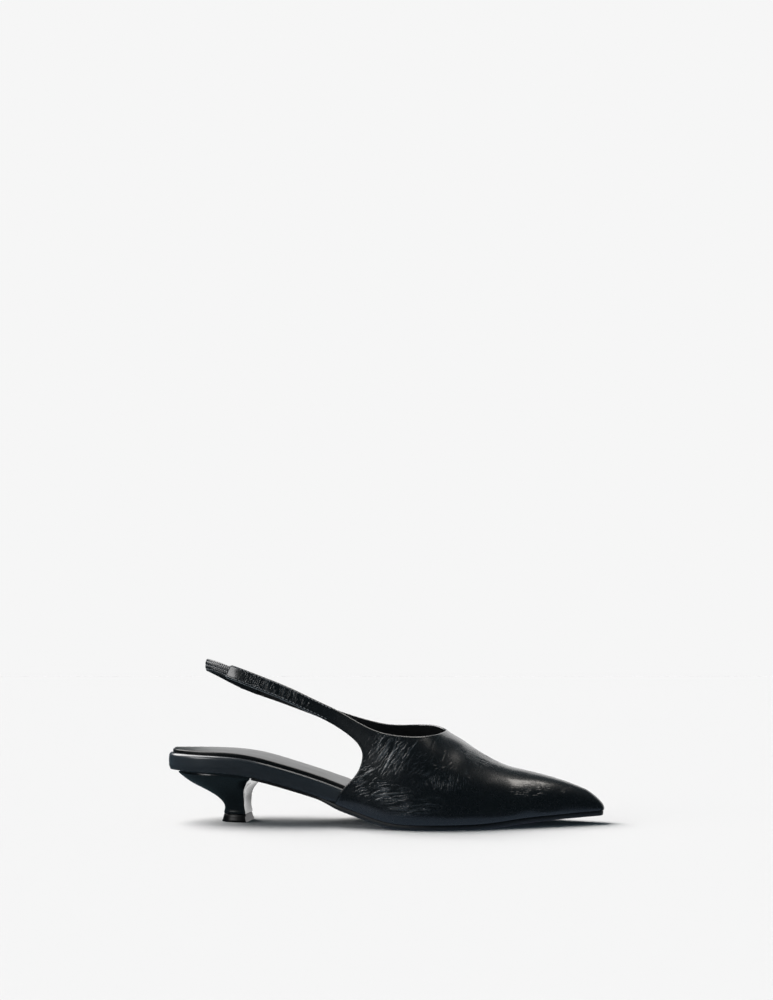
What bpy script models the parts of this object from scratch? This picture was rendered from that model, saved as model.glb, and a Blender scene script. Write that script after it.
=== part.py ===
"""A slingback pump for the right foot, standing empty on its sole and kitten heel.

Metres, +Z up. +X runs from the heel to the toe, and the foot's inner side is +Y.
"""

import bmesh
import bpy
import numpy as np

MM = 0.001
OUTER, INNER = 0, 1

# Sizes of the last
LENGTH = 260 * MM  # footbed, from the back of the seat to the toe
BALL_WIDTH = 73 * MM  # footbed, where it is widest
HEEL_RISE = 28.7 * MM  # seat over ball
TOE_SPRING = 4.8 * MM  # toe over ball
INSTEP = 50.7 * MM  # height over the feather line at the throat
TUCK = 1.6 * MM  # how far the side overhangs the feather line

# Thicknesses and clearances
WALL = 1.6 * MM  # upper leather with its lining
GAP = 0.3 * MM  # between pieces that touch on the real shoe
EDGE_SOLE = 2.9 * MM  # outsole round the forepart
WAIST_SOLE = 1.6 * MM  # outsole under the waist
RAND = 9.9 * MM  # wrapped edge of the footbed at seat and waist
BOARD = 3.0 * MM  # footbed inside the upper
RAND_ROUND = 2.2 * MM  # rounding of the rand's upper edge
SOCK = 1.9 * MM  # padded sock at its edge
SOCK_CROWN = 0.5 * MM  # more at its middle
SOCK_INSET = 2.5 * MM  # sock edge inside the footbed edge
SOCK_ROUND = 0.7 * MM  # rounding of the sock's upper edge

# Sling straps and the elastic at the back
STRAP_WIDTH = 8.3 * MM
STRAP_TURN = 50 * MM  # where the straps begin to turn round the heel
STRAP_BACK = 20.5 * MM  # outer face of the loop at its back
ELASTIC = 1.8 * MM
ELASTIC_INSET = 0.4 * MM  # narrower than the strap, at each edge
STRAP_LEAN = 0.37  # the width runs this far forward for each unit along the strap's own square

# Outsole and heel
SOLE_INSET = 0.5 * MM  # outsole edge inside the upper
WAIST_INSET = 1.8 * MM  # outsole edge inside the rand
SOLE_BEVEL = 0.8 * MM
WAIST_FRONT = 4 * MM  # the sole is thinner and set in from this far before the vamp's corner
WAIST_FADE = 16 * MM  # and fully so, this much further back
BREAST = 56 * MM  # front of the heel at the seat
BREAST_TURN = 0.09  # the breast faces a little outwards, as a slope
BREAST_BOW = 1.2 * MM
SEAT_INSET = 1.1 * MM  # heel cover inside the rand, at the sides
SEAT_BACK = 4.0 * MM  # heel cover inside the rand, at the back
NECK_BACK = 34.1 * MM
NECK_BREAST = 47.9 * MM
NECK_WIDTH = 16 * MM
NECK_ROUND = 0.9  # roundness of the neck's back, where 1 is an ellipse
NECK_SIDES = 0.75  # fullness of the neck's sides, where 1 is an ellipse
TOP_PIECE = 4.6 * MM
TOP_EDGE = 0.4 * MM  # top piece outside the neck, at its upper edge
TOP_FLARE = 1.1 * MM  # and this much more near the floor


def table(columns, rows):
    """The columns of a table by name, each an array with a value for each row."""
    return dict(zip(columns.split(), np.transpose(rows)))


# Plan of the footbed: half widths as shares of BALL_WIDTH
PLAN = table(
    "along outer inner",
    (
        (0.000, 0.000, 0.000),
        (0.012, 0.160, 0.162),
        (0.046, 0.267, 0.272),
        (0.096, 0.334, 0.336),
        (0.154, 0.361, 0.336),
        (0.231, 0.367, 0.308),
        (0.308, 0.355, 0.277),
        (0.385, 0.372, 0.268),
        (0.462, 0.438, 0.318),
        (0.538, 0.512, 0.408),
        (0.596, 0.538, 0.456),
        (0.654, 0.518, 0.450),
        (0.731, 0.433, 0.389),
        (0.808, 0.326, 0.298),
        (0.885, 0.214, 0.198),
        (0.942, 0.129, 0.122),
        (0.977, 0.077, 0.074),
        (0.9935, 0.042, 0.042),
        (1.000, 0.000, 0.000),
    ),
)

# Side view of the footbed: shares of HEEL_RISE, of TOE_SPRING, and of the rand's height over the board
BOTTOM = table(
    "along rise spring rand",
    (
        (0.000, 1.000, 0.00, 1.00),
        (0.092, 0.969, 0.00, 1.00),
        (0.177, 0.923, 0.00, 1.00),
        (0.212, 0.871, 0.00, 1.00),
        (0.277, 0.718, 0.00, 1.00),
        (0.319, 0.606, 0.00, 1.00),
        (0.369, 0.463, 0.00, 1.00),
        (0.415, 0.317, 0.00, 1.00),
        (0.462, 0.178, 0.00, 0.70),
        (0.500, 0.075, 0.00, 0.35),
        (0.542, 0.012, 0.00, 0.08),
        (0.590, 0.000, 0.00, 0.00),
        (0.700, 0.000, 0.00, 0.00),
        (0.763, 0.000, 0.20, 0.00),
        (0.808, 0.000, 0.47, 0.00),
        (0.896, 0.000, 0.77, 0.00),
        (0.958, 0.000, 0.94, 0.00),
        (1.000, 0.000, 1.00, 0.00),
    ),
)

# The last over the feather line: ridge height as a share of INSTEP, where the ridge lies across as a share of
# BALL_WIDTH, and how full the section is at its crown and at its flank (2 is an ellipse)
SECTIONS = table(
    "along ridge across crown flank",
    (
        (0.000, 1.730, 0.000, 2.0, 2.2),
        (0.115, 1.731, 0.000, 2.0, 2.2),
        (0.192, 1.739, 0.000, 2.0, 2.2),
        (0.269, 1.746, 0.002, 2.0, 2.2),
        (0.346, 1.727, 0.008, 2.0, 2.2),
        (0.423, 1.680, 0.020, 2.0, 2.2),
        (0.500, 1.575, 0.034, 2.0, 2.2),
        (0.577, 1.365, 0.044, 2.0, 2.2),
        (0.615, 1.200, 0.046, 2.0, 2.2),
        (0.650, 1.015, 0.047, 2.0, 2.2),
        (0.679, 0.922, 0.046, 1.95, 2.2),
        (0.708, 0.820, 0.043, 1.9, 2.2),
        (0.735, 0.727, 0.039, 1.9, 2.2),
        (0.762, 0.642, 0.035, 1.9, 2.25),
        (0.788, 0.571, 0.030, 1.9, 2.3),
        (0.815, 0.520, 0.025, 1.95, 2.3),
        (0.846, 0.473, 0.019, 2.0, 2.35),
        (0.877, 0.425, 0.014, 2.0, 2.4),
        (0.914, 0.360, 0.009, 2.0, 2.4),
        (0.942, 0.300, 0.006, 2.0, 2.4),
        (0.969, 0.237, 0.004, 2.0, 2.4),
        (1.000, 0.156, 0.003, 2.0, 2.4),
    ),
)

# Edges of the upper behind the throat, a row for each line square to them from the throat to the strap's end.
# low is the feather line as far as the corner, then the cut-out and the strap's lower edge; high is the topline.
# Places along are shares of LENGTH, heights over the feather line are shares of INSTEP. In the rows of the strap,
# high is one strap width from low.
CORNER_ROW = 3
STRAP_ROW = 10
EDGE_COLUMNS = "low_along low_up high_along high_up"
EDGES = (
    table(
        EDGE_COLUMNS,
        (
            (0.650, 0.000, 0.650, 1.015),
            (0.569, 0.000, 0.632, 0.996),
            (0.481, 0.000, 0.608, 0.984),
            (0.398, 0.000, 0.582, 0.980),
            (0.420, 0.213, 0.558, 0.982),
            (0.447, 0.405, 0.533, 0.985),
            (0.462, 0.615, 0.506, 0.987),
            (0.456, 0.750, 0.477, 0.998),
            (0.433, 0.831, 0.446, 1.026),
            (0.400, 0.885, 0.411, 1.066),
            (0.365, 0.915, 0.365, 0.915),
            (0.331, 0.940, 0.331, 0.940),
            (0.277, 0.986, 0.277, 0.986),
            (0.223, 1.023, 0.223, 1.023),
            (0.185, 1.060, 0.185, 1.060),
            (0.148, 1.105, 0.148, 1.105),
        ),
    ),
    table(
        EDGE_COLUMNS,
        (
            (0.650, 0.000, 0.650, 1.015),
            (0.569, 0.000, 0.633, 1.052),
            (0.481, 0.000, 0.610, 1.070),
            (0.404, 0.000, 0.583, 1.070),
            (0.427, 0.229, 0.558, 1.061),
            (0.456, 0.424, 0.533, 1.050),
            (0.471, 0.631, 0.507, 1.036),
            (0.465, 0.745, 0.479, 1.024),
            (0.440, 0.805, 0.448, 1.017),
            (0.404, 0.831, 0.412, 1.015),
            (0.365, 0.842, 0.365, 0.842),
            (0.331, 0.854, 0.331, 0.854),
            (0.277, 0.874, 0.277, 0.874),
            (0.223, 0.897, 0.223, 0.897),
            (0.185, 0.927, 0.185, 0.927),
            (0.148, 0.978, 0.148, 0.978),
        ),
    ),
)

# How the same lines bow: the share of their way along, and of their way up, at the point they bend towards
BOWS = table(
    "along_first up_first",
    (
        (0.00, 0.50),
        (0.30, 0.45),
        (0.60, 0.33),
        (0.85, 0.20),
        (0.88, 0.22),
        (0.88, 0.24),
        (0.85, 0.28),
        (0.75, 0.36),
        (0.60, 0.45),
        (0.50, 0.50),
        (0.50, 0.50),
        (0.50, 0.50),
        (0.50, 0.50),
        (0.50, 0.50),
        (0.50, 0.50),
        (0.50, 0.50),
    ),
)

# Lower edge of the back loop: turn is -1 at the outer side, 0 at the back and 1 at the inner side
LOOP = table(
    "turn low_up",
    (
        (-1.00, 1.055),
        (-0.78, 1.098),
        (-0.55, 1.142),
        (-0.30, 1.163),
        (0.00, 1.160),
        (0.30, 1.120),
        (0.55, 1.045),
        (0.78, 0.970),
        (1.00, 0.919),
    ),
)

# The heel from its top piece up to the seat, as shares of the way from the neck to the seat
HEEL = table(
    "up back breast wide",
    (
        (0.00, 0.02, 0.12, 0.03),
        (0.10, 0.00, 0.05, 0.00),
        (0.20, 0.01, 0.00, 0.00),
        (0.30, 0.07, 0.00, 0.02),
        (0.40, 0.17, 0.00, 0.07),
        (0.50, 0.31, 0.03, 0.15),
        (0.60, 0.48, 0.12, 0.28),
        (0.70, 0.65, 0.29, 0.44),
        (0.80, 0.79, 0.50, 0.62),
        (0.90, 0.90, 0.74, 0.81),
        (1.00, 1.00, 1.00, 1.00),
    ),
)


def spline(knots, values, at):
    """The natural cubic curve through the values at the knots."""
    knots = np.asarray(knots, float)
    values = np.asarray(values, float)
    step = np.diff(knots)
    count = len(knots)
    system = np.eye(count)
    right = np.zeros(count)
    for i in range(1, count - 1):
        system[i, i - 1 : i + 2] = step[i - 1], 2 * (step[i - 1] + step[i]), step[i]
        right[i] = 6 * ((values[i + 1] - values[i]) / step[i] - (values[i] - values[i - 1]) / step[i - 1])
    bend = np.linalg.solve(system, right)
    at = np.asarray(at, float)
    i = np.clip(np.searchsorted(knots, at, side="right") - 1, 0, count - 2)
    before = (knots[i + 1] - at) / step[i]
    after = (at - knots[i]) / step[i]
    curved = (before**3 - before) * bend[i] + (after**3 - after) * bend[i + 1]
    return before * values[i] + after * values[i + 1] + curved * step[i] ** 2 / 6


def along(rows, column, x):
    return spline(rows["along"] * LENGTH, rows[column], x)


def ease(x, start, end):
    """0 before start, 1 past end, smooth between."""
    t = np.clip((np.asarray(x, float) - start) / (end - start), 0, 1)
    return t * t * (3 - 2 * t)


# Heights of the footbed and the sole under it, by the place along


def feather(x):
    """Underside of footbed and upper."""
    rise = np.maximum(along(BOTTOM, "rise", x), 0) * HEEL_RISE
    spring = np.maximum(along(BOTTOM, "spring", x), 0) * TOE_SPRING
    return EDGE_SOLE + GAP + rise + spring


def footbed_height(x):
    return BOARD + (RAND - BOARD) * np.clip(along(BOTTOM, "rand", x), 0, 1)


def open_waist(x):
    """1 where the rand shows, 0 inside the upper."""
    front = EDGES[OUTER]["low_along"][CORNER_ROW] * LENGTH + WAIST_FRONT
    return 1 - ease(x, front - WAIST_FADE, front)


def sole_height(x):
    return EDGE_SOLE + (WAIST_SOLE - EDGE_SOLE) * open_waist(x)


def ridge_height(x):
    return along(SECTIONS, "ridge", x) * INSTEP


# Plan outline, as two runs of points from the back of the seat to the toe

OUTLINE_POINTS = 1601
OUTLINE_WRAP = 5  # points past each end of the closed outline, so that its curve closes smoothly


def plan_outline():
    """For each side, its points and their outward normals, close together and evenly spaced."""
    x = PLAN["along"] * LENGTH
    outer = np.column_stack([x, -PLAN["outer"] * BALL_WIDTH])
    inner = np.column_stack([x, PLAN["inner"] * BALL_WIDTH])
    points = np.vstack([outer, inner[-2:0:-1]])
    wrap = OUTLINE_WRAP
    ring = np.vstack([points[-wrap:], points, points[: wrap + 1]])
    knots = np.concatenate([[0], np.cumsum(np.linalg.norm(np.diff(ring, axis=0), axis=1))])
    toe = wrap + len(outer) - 1
    sides = []
    for first, last in ((wrap, toe), (wrap + len(points), toe)):
        at = np.linspace(knots[first], knots[last], OUTLINE_POINTS)
        run = np.column_stack([spline(knots, ring[:, 0], at), spline(knots, ring[:, 1], at)])
        tangent = np.gradient(run, axis=0)
        tangent /= np.linalg.norm(tangent, axis=1)[:, None]
        normal = np.column_stack([tangent[:, 1], -tangent[:, 0]])
        if first > toe:
            normal = -normal
        sides.append((run, normal))
    return sides


OUTLINE = plan_outline()


def outline_at(side, x, offset, reach=0.0):
    """The plan points whose offset by reach lies at x, themselves offset by offset."""
    run, normal = OUTLINE[side]
    ahead = (run + normal * reach)[:, 0]
    place = np.interp(x, ahead, np.arange(len(run)))
    point = np.column_stack([np.interp(place, np.arange(len(run)), run[:, k]) for k in (0, 1)])
    square = np.column_stack([np.interp(place, np.arange(len(run)), normal[:, k]) for k in (0, 1)])
    return point + square * np.broadcast_to(offset, len(point))[:, None]


# The outer face of the upper

FEATHER_REACH = WALL + GAP  # from the footbed's edge to the upper's outer face
TIP = LENGTH + FEATHER_REACH
TUCK_SHARE = 0.10  # the widest line, as a share of the section's height
TUCK_ANGLE = 0.6  # slope of the leather where it meets the sole, in radians from upright
TOE_FAN = 12 * MM  # the toe's columns lean back to the ridge by up to this
TOE_FAN_START = 222 * MM
TOE_CROWDING = 1.6  # columns stand closer together at the toe
THROAT_PLACES = (0.15, 0.35, 0.65)  # extra columns where the topline crosses the ridge


def skin(side, x, share):
    """Points of the outer face that rise from the feather line at x, at a share of the height there."""
    x = np.asarray(x, float)
    share = np.clip(share, 0, 1)
    tuck = TUCK * np.clip(ridge_height(x) / INSTEP, 0, 1.2)
    foot = outline_at(side, x, FEATHER_REACH, FEATHER_REACH)
    wide = outline_at(side, x, FEATHER_REACH + tuck, FEATHER_REACH)
    lean = TOE_FAN * np.clip((x - TOE_FAN_START) / (TIP - TOE_FAN_START), 0, 1) ** 2
    ridge_x = x - lean
    ridge = np.column_stack([ridge_x, along(SECTIONS, "across", ridge_x) * BALL_WIDTH])

    low = np.clip(share / TUCK_SHARE, 0, 1)
    angle = np.arccos(np.cos(TUCK_ANGLE) * (1 - low))
    turned = (1 - np.sin(angle)) / (1 - np.sin(TUCK_ANGLE))
    up = np.clip((share - TUCK_SHARE) / (1 - TUCK_SHARE), 0, 1)
    crown = along(SECTIONS, "crown", x)
    flank = along(SECTIONS, "flank", x)
    spread = (1 - up**flank) ** (1 / crown)
    plan = ridge + (wide - ridge) * spread[:, None] + (foot - wide) * turned[:, None]

    turn = np.clip((STRAP_TURN - x) / (STRAP_TURN - STRAP_BACK), 0, 1)
    plan[:, 1] *= np.sqrt(1 - turn**2)
    here = np.minimum(plan[:, 0], TIP)
    return np.column_stack([plan, feather(here) + share * ridge_height(here)])


def even(points, count):
    """The line through the points, cut into count equal lengths."""
    way = np.concatenate([[0], np.cumsum(np.linalg.norm(np.diff(points, axis=0), axis=1))])
    at = np.linspace(0, way[-1], count + 1)
    return np.column_stack([np.interp(at, way, points[:, k]) for k in range(3)])


def column(side, low, high, bow, rows):
    """A bowed line on the outer face between two places given by x and height over the feather line."""
    t = np.sin(np.linspace(0, np.pi / 2, 240))
    start = np.array([low[0], low[1] / ridge_height(low[0])])
    end = np.array([high[0], high[1] / ridge_height(high[0])])
    bend = start + (end - start) * bow
    x, share = (np.outer((1 - t) ** 2, start) + np.outer(2 * t * (1 - t), bend) + np.outer(t * t, end)).T
    return even(skin(side, x, share), rows)


def edge_points(side, rows_at):
    """Places of the low and the high edge at the given rows of the table, which may lie between its rows."""
    edge = EDGES[side]
    knots = np.arange(len(edge["low_along"]))
    low = np.column_stack([edge["low_along"] * LENGTH, edge["low_up"] * INSTEP])
    high = np.column_stack([edge["high_along"] * LENGTH, edge["high_up"] * INSTEP])
    square = STRAP_WIDTH * np.array([STRAP_LEAN, np.sqrt(1 - STRAP_LEAN**2)])
    slope = feather(low[:, 0] + square[0]) - feather(low[:, 0])
    high[STRAP_ROW:] = low[STRAP_ROW:] + square
    high[STRAP_ROW:, 1] -= slope[STRAP_ROW:]
    front = rows_at <= CORNER_ROW
    parts = []
    for part, first, last in ((rows_at[front], 0, CORNER_ROW), (rows_at[~front], CORNER_ROW, len(knots) - 1)):
        some = slice(first, last + 1)
        parts.append(np.column_stack([spline(knots[some], low[some, k], part) for k in (0, 1)]))
    low_line = np.vstack(parts)
    low_line[: front.sum(), 1] = 0
    mirrored = np.concatenate([-knots[2:0:-1], knots])
    across_throat = np.vstack([high[2:0:-1], high])
    high_line = np.column_stack([spline(mirrored, across_throat[:, k], rows_at) for k in (0, 1)])
    return low_line, high_line


def upper_columns(side, toe_columns, cuts, rows):
    """All columns of one side from the toe to the strap's end, as an array of points."""
    throat = EDGES[side]["low_along"][0] * LENGTH
    share = np.linspace(0, 1, toe_columns + 1)
    columns = []
    for x in TIP - (TIP - throat) * share**TOE_CROWDING:
        columns.append(column(side, (x, 0.0), (x, ridge_height(x)), (0.5, 0.5), rows))
    last = len(BOWS["up_first"]) - 1
    places = np.concatenate([THROAT_PLACES, np.linspace(1, last, cuts * (last - 1) + 1)])
    low, high = edge_points(side, places)
    bows = np.column_stack([spline(np.arange(last + 1), BOWS[name], places) for name in BOWS])
    for a, b, bow in zip(low, high, bows):
        columns.append(column(side, a, b, bow, rows))
    return np.array(columns)


# Blender objects


def material(name, colour, roughness, coat=0.0):
    made = bpy.data.materials.new(name)
    made.use_nodes = True
    shader = made.node_tree.nodes["Principled BSDF"]
    shader.inputs["Base Color"].default_value = (*colour, 1.0)
    shader.inputs["Roughness"].default_value = roughness
    shader.inputs["Coat Weight"].default_value = coat
    made.diffuse_color = (*colour, 1.0)
    return made


def add_object(name, mesh, surface, sharp=0.7):
    """A named object from a bmesh, shaded smooth but for edges sharper than the angle."""
    data = bpy.data.meshes.new(name)
    mesh.to_mesh(data)
    mesh.free()
    data.materials.append(surface)
    data.shade_smooth()
    data.set_sharp_from_angle(angle=sharp)
    made = bpy.data.objects.new(name, data)
    bpy.context.scene.collection.objects.link(made)
    return made


def solidify(made, thickness):
    wall = made.modifiers.new("wall", "SOLIDIFY")
    wall.thickness = thickness
    wall.offset = -1


def face(mesh, corners):
    """A face from corners that may repeat, as they do where a rib ends in a point."""
    kept = [corner for i, corner in enumerate(corners) if corner is not corners[i - 1]]
    if len(kept) > 2:
        mesh.faces.new(kept)


def cap(mesh, loop, count, ribs, crown):
    """Closes a loop of two sides with ribs from side to side."""
    closed = len(loop) == 2 * count

    def rib(i):
        left, right = loop[i], loop[(2 * count - i) % len(loop)]
        if i == 0 and not closed:
            return [left, *reversed(loop[2 * count + 1 :]), right]
        if left is right:
            return [left] * (ribs + 1)
        between = []
        for j in range(1, ribs):
            u = j / ribs
            point = left.co.lerp(right.co, u)
            point.z += crown(point.x) * (1 - (2 * u - 1) ** 2)
            between.append(mesh.verts.new(point))
        return [left, *between, right]

    before = rib(0)
    for i in range(1, count + 1):
        after = rib(i)
        for j in range(ribs):
            face(mesh, [before[j], before[j + 1], after[j + 1], after[j]])
        before = after


def loft(name, rings, ribs, surface, crown=lambda x: 0.0, bow=None):
    """A closed solid through rings, lowest first. Each ring is an outer and an inner run of points from the first
    rib to a shared end. Where the runs start apart, the first rib is a face, bowed back by the ring's bow."""
    mesh = bmesh.new()
    count = len(rings[0][OUTER]) - 1
    apart = np.linalg.norm(rings[0][OUTER][0] - rings[0][INNER][0]) > 0.01 * MM
    loops = []
    for number, (outer, inner) in enumerate(rings):
        points = list(outer) + list(inner[-2::-1])
        if not apart:
            points.pop()
        else:
            for j in range(ribs - 1, 0, -1):
                u = j / ribs
                point = outer[0] + (inner[0] - outer[0]) * u
                point[0] -= (bow[number] if bow else 0.0) * 4 * u * (1 - u)
                points.append(point)
        loops.append([mesh.verts.new(point) for point in points])
    for below, above in zip(loops, loops[1:]):
        for j in range(len(below)):
            mesh.faces.new([below[j - 1], below[j], above[j], above[j - 1]])
    cap(mesh, loops[0], count, ribs, lambda x: 0.0)
    cap(mesh, loops[-1], count, ribs, crown)
    bmesh.ops.recalc_face_normals(mesh, faces=mesh.faces)
    return add_object(name, mesh, surface)


def stations(start, count):
    """Places along from start to the toe, closer together at both ends."""
    angle = np.linspace(0, np.pi, count + 1)
    return start + (LENGTH - start) * (1 - np.cos(angle)) / 2


def plan_ring(x, offset, height, reach=0.0):
    """The two sides of a level ring: outline at the stations, offset, at the heights of its own places."""
    sides = []
    for side in (OUTER, INNER):
        plan = outline_at(side, x[side], offset(x[side]), reach)
        sides.append(np.column_stack([plan, height(plan[:, 0])]))
    for end in (0, -1):
        if abs(x[OUTER][end] - x[INNER][end]) < 0.01 * MM and (end or x[OUTER][0] < 0.01 * MM):
            middle = (sides[OUTER][end] + sides[INNER][end]) / 2
            sides[OUTER][end] = sides[INNER][end] = middle
    return sides


# Pieces

NECK_POINTS = 14  # round each side of the heel, from its breast to its back


def make_upper(surface):
    """Vamp and both sling straps in one wall, open at throat, cut-outs, strap ends and sole."""
    mesh = bmesh.new()
    toe_columns, cuts, rows = 26, 2, 14
    grids = []
    for side in (OUTER, INNER):
        points = upper_columns(side, toe_columns, cuts, rows)
        grid = []
        for c, line in enumerate(points):
            verts = []
            for r, point in enumerate(line):
                at_tip = side == INNER and c == 0
                at_ridge = side == INNER and c <= toe_columns and r == rows
                if at_tip or at_ridge:
                    verts.append(grids[OUTER][c][r])
                    continue
                if c == 0:
                    point[1] = 0.0
                verts.append(mesh.verts.new(point))
            grid.append(verts)
        grids.append(grid)
    for side, grid in enumerate(grids):
        for before, after in zip(grid, grid[1:]):
            for r in range(rows):
                corners = [before[r], before[r + 1], after[r + 1], after[r]]
                mesh.faces.new(corners if side == OUTER else corners[::-1])
    made = add_object("upper", mesh, surface, sharp=1.0)
    solidify(made, WALL)
    return made


def make_heel_elastic(surface):
    """The band that joins the straps round the heel, its ends inside them."""
    mesh = bmesh.new()
    turns = np.linspace(-1, 1, 41)
    rows = 3
    grid = []
    for turn in turns:
        side = OUTER if turn < 0 else INNER
        x = STRAP_TURN - (STRAP_TURN - STRAP_BACK) * np.cos(turn * np.pi / 2)
        low = spline(LOOP["turn"], LOOP["low_up"], turn) * INSTEP + ELASTIC_INSET
        high = low + STRAP_WIDTH - 2 * ELASTIC_INSET
        heights = np.linspace(low, high, rows + 1)
        line = skin(side, np.full(rows + 1, x), heights / ridge_height(x))
        grid.append([mesh.verts.new(point) for point in line])
    for before, after in zip(grid, grid[1:]):
        for r in range(rows):
            mesh.faces.new([before[r], before[r + 1], after[r + 1], after[r]])
    made = add_object("heel_elastic", mesh, surface, sharp=1.0)
    inside = made.modifiers.new("inside the strap", "DISPLACE")
    inside.mid_level = 0
    inside.strength = -(WALL + GAP)
    solidify(made, ELASTIC)
    return made


def make_footbed(surface):
    """Board with a rounded, wrapped rand at seat and waist."""
    x = stations(0, 46)
    both = (x, x)

    def top(at):
        return feather(at) + footbed_height(at)

    def rounding(at):
        return RAND_ROUND * footbed_height(at) / RAND

    under, shoulder = 0.4, 0.3  # shares of the rounding: at the lower edge, and on the way over the upper edge
    rings = [
        plan_ring(both, lambda at: -under * rounding(at), feather),
        plan_ring(both, lambda at: 0 * at, lambda at: feather(at) + under * rounding(at)),
        plan_ring(both, lambda at: 0 * at, lambda at: top(at) - rounding(at)),
        plan_ring(both, lambda at: -shoulder * rounding(at), lambda at: top(at) - shoulder * rounding(at)),
        plan_ring(both, lambda at: -rounding(at), top),
    ]
    return loft("footbed", rings, 2, surface)


def make_sock(surface):
    """Padded sock on the footbed, set in from its edge."""
    x = stations(0, 40)
    both = (x, x)

    def base(at):
        return feather(at) + footbed_height(at) + GAP

    def crown(at):
        return SOCK_CROWN * open_waist(at)

    rings = [
        plan_ring(both, lambda at: -SOCK_INSET + 0 * at, base),
        plan_ring(both, lambda at: -SOCK_INSET + 0 * at, lambda at: base(at) + SOCK - SOCK_ROUND),
        plan_ring(both, lambda at: -SOCK_INSET - SOCK_ROUND + 0 * at, lambda at: base(at) + SOCK),
    ]
    return loft("sock", rings, 4, surface, crown)


def make_outsole(surface):
    """Thin sole from the heel's breast to the toe, flat on the floor at the ball."""
    starts = []
    for side in (OUTER, INNER):
        y = outline_at(side, [BREAST], -WAIST_INSET)[0, 1]
        starts.append(BREAST + GAP + BREAST_TURN * y)
    both = [stations(start, 40) for start in starts]

    def edge(at):
        return (FEATHER_REACH - SOLE_INSET) * (1 - open_waist(at)) - WAIST_INSET * open_waist(at)

    def top(at):
        return feather(at) - GAP

    def floor(at):
        return np.maximum(top(at) - sole_height(at), 0)

    rings = [
        plan_ring(both, lambda at: edge(at) - SOLE_BEVEL, floor),
        plan_ring(both, edge, lambda at: floor(at) + 0.5 * SOLE_BEVEL),
        plan_ring(both, edge, top),
    ]
    return loft("outsole", rings, 2, surface)


def neck_ring(back, breast, half_width, height, count):
    """A D with its flat side to the front, at a height given by place along."""
    angle = np.linspace(0, np.pi / 2, count + 1)
    depth = np.sin(angle) ** NECK_ROUND
    width = half_width * np.maximum(np.cos(angle), 0) ** NECK_SIDES
    sides = []
    for side, sign in ((OUTER, -1), (INNER, 1)):
        y = sign * width
        x = breast - (breast - back) * depth + BREAST_TURN * y * (1 - depth)
        sides.append(np.column_stack([x, y, np.broadcast_to(height, len(x))]))
    sides[INNER][-1] = sides[OUTER][-1]
    return sides


def make_heel(surface):
    """Covered kitten heel, from the top piece up to the seat."""
    count = NECK_POINTS
    foot = TOP_PIECE + GAP
    seat = []
    for side in (OUTER, INNER):
        run, normal = OUTLINE[side]
        inset = run - normal * SEAT_INSET
        part = inset[inset[:, 0] < BREAST][::-1]
        part = even(np.column_stack([part, 0 * part[:, 0]]), count)
        depth = (part[0, 0] - part[:, 0]) / (part[0, 0] - part[-1, 0])
        seat.append((depth, part[:, 1] * (1 - (np.arange(count + 1) == count))))
    neck = neck_ring(NECK_BACK, NECK_BREAST, NECK_WIDTH / 2, 0.0, count)
    neck_depth = np.sin(np.linspace(0, np.pi / 2, count + 1)) ** NECK_ROUND
    rings = []
    bows = []
    for up in np.linspace(0, 1, 15):
        back = NECK_BACK + (SEAT_BACK - NECK_BACK) * spline(HEEL["up"], HEEL["back"], up)
        breast = NECK_BREAST + (BREAST - NECK_BREAST) * spline(HEEL["up"], HEEL["breast"], up)
        wide = np.clip(spline(HEEL["up"], HEEL["wide"], up), 0, 1)
        sides = []
        for side in (OUTER, INNER):
            depth = neck_depth + (seat[side][0] - neck_depth) * wide
            y = neck[side][:, 1] + (seat[side][1] - neck[side][:, 1]) * wide
            x = breast - (breast - back) * depth + BREAST_TURN * y * (1 - depth)
            z = foot + (feather(x) - GAP - foot) * up
            sides.append(np.column_stack([x, y, z]))
        sides[INNER][-1] = sides[OUTER][-1]
        rings.append(sides)
        bows.append(BREAST_BOW * np.sin(np.pi * up))
    return loft("heel", rings, 4, surface, bow=bows)


def make_top_piece(surface):
    """The heel's tread, a little larger at the floor."""
    rings = []
    for height, flare in ((0.0, 0.8), (0.1, 1.0), (1.0, 0.0)):
        grow = TOP_EDGE + flare * TOP_FLARE
        half = NECK_WIDTH / 2 + grow
        rings.append(neck_ring(NECK_BACK - grow, NECK_BREAST + grow, half, height * TOP_PIECE, NECK_POINTS))
    return loft("top_piece", rings, 4, surface)


def build():
    for old in list(bpy.data.objects):
        bpy.data.objects.remove(old, do_unlink=True)
    leather = material("black glossy leather", (0.012, 0.015, 0.020), 0.28, 0.4)
    made = [
        make_upper(leather),
        make_heel_elastic(material("black shirred elastic", (0.010, 0.011, 0.014), 0.6)),
        make_footbed(material("black leather rand", (0.014, 0.018, 0.025), 0.3, 0.3)),
        make_sock(material("black padded sock leather", (0.015, 0.014, 0.014), 0.35)),
        make_outsole(material("black sole", (0.012, 0.013, 0.015), 0.45)),
        make_heel(material("black heel cover", (0.010, 0.011, 0.014), 0.2, 0.5)),
        make_top_piece(material("black top piece rubber", (0.012, 0.012, 0.013), 0.4)),
    ]
    bpy.context.view_layer.update()
    graph = bpy.context.evaluated_depsgraph_get()
    corners = []
    for piece in made:
        mesh = piece.evaluated_get(graph).to_mesh()
        points = np.empty(len(mesh.vertices) * 3)
        mesh.vertices.foreach_get("co", points)
        corners.append(points.reshape(-1, 3).min(axis=0))
        corners.append(points.reshape(-1, 3).max(axis=0))
    low, high = np.min(corners, axis=0), np.max(corners, axis=0)
    for piece in made:
        piece.location = (-(low[0] + high[0]) / 2, -(low[1] + high[1]) / 2, -low[2])


build()
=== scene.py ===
"""The looks of a black slingback pump, the right shoe of its pair.

Metres, +Z up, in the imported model's frame. +X runs from the heel to the toe, and the shoe's inner side is +Y.
"""

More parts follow.
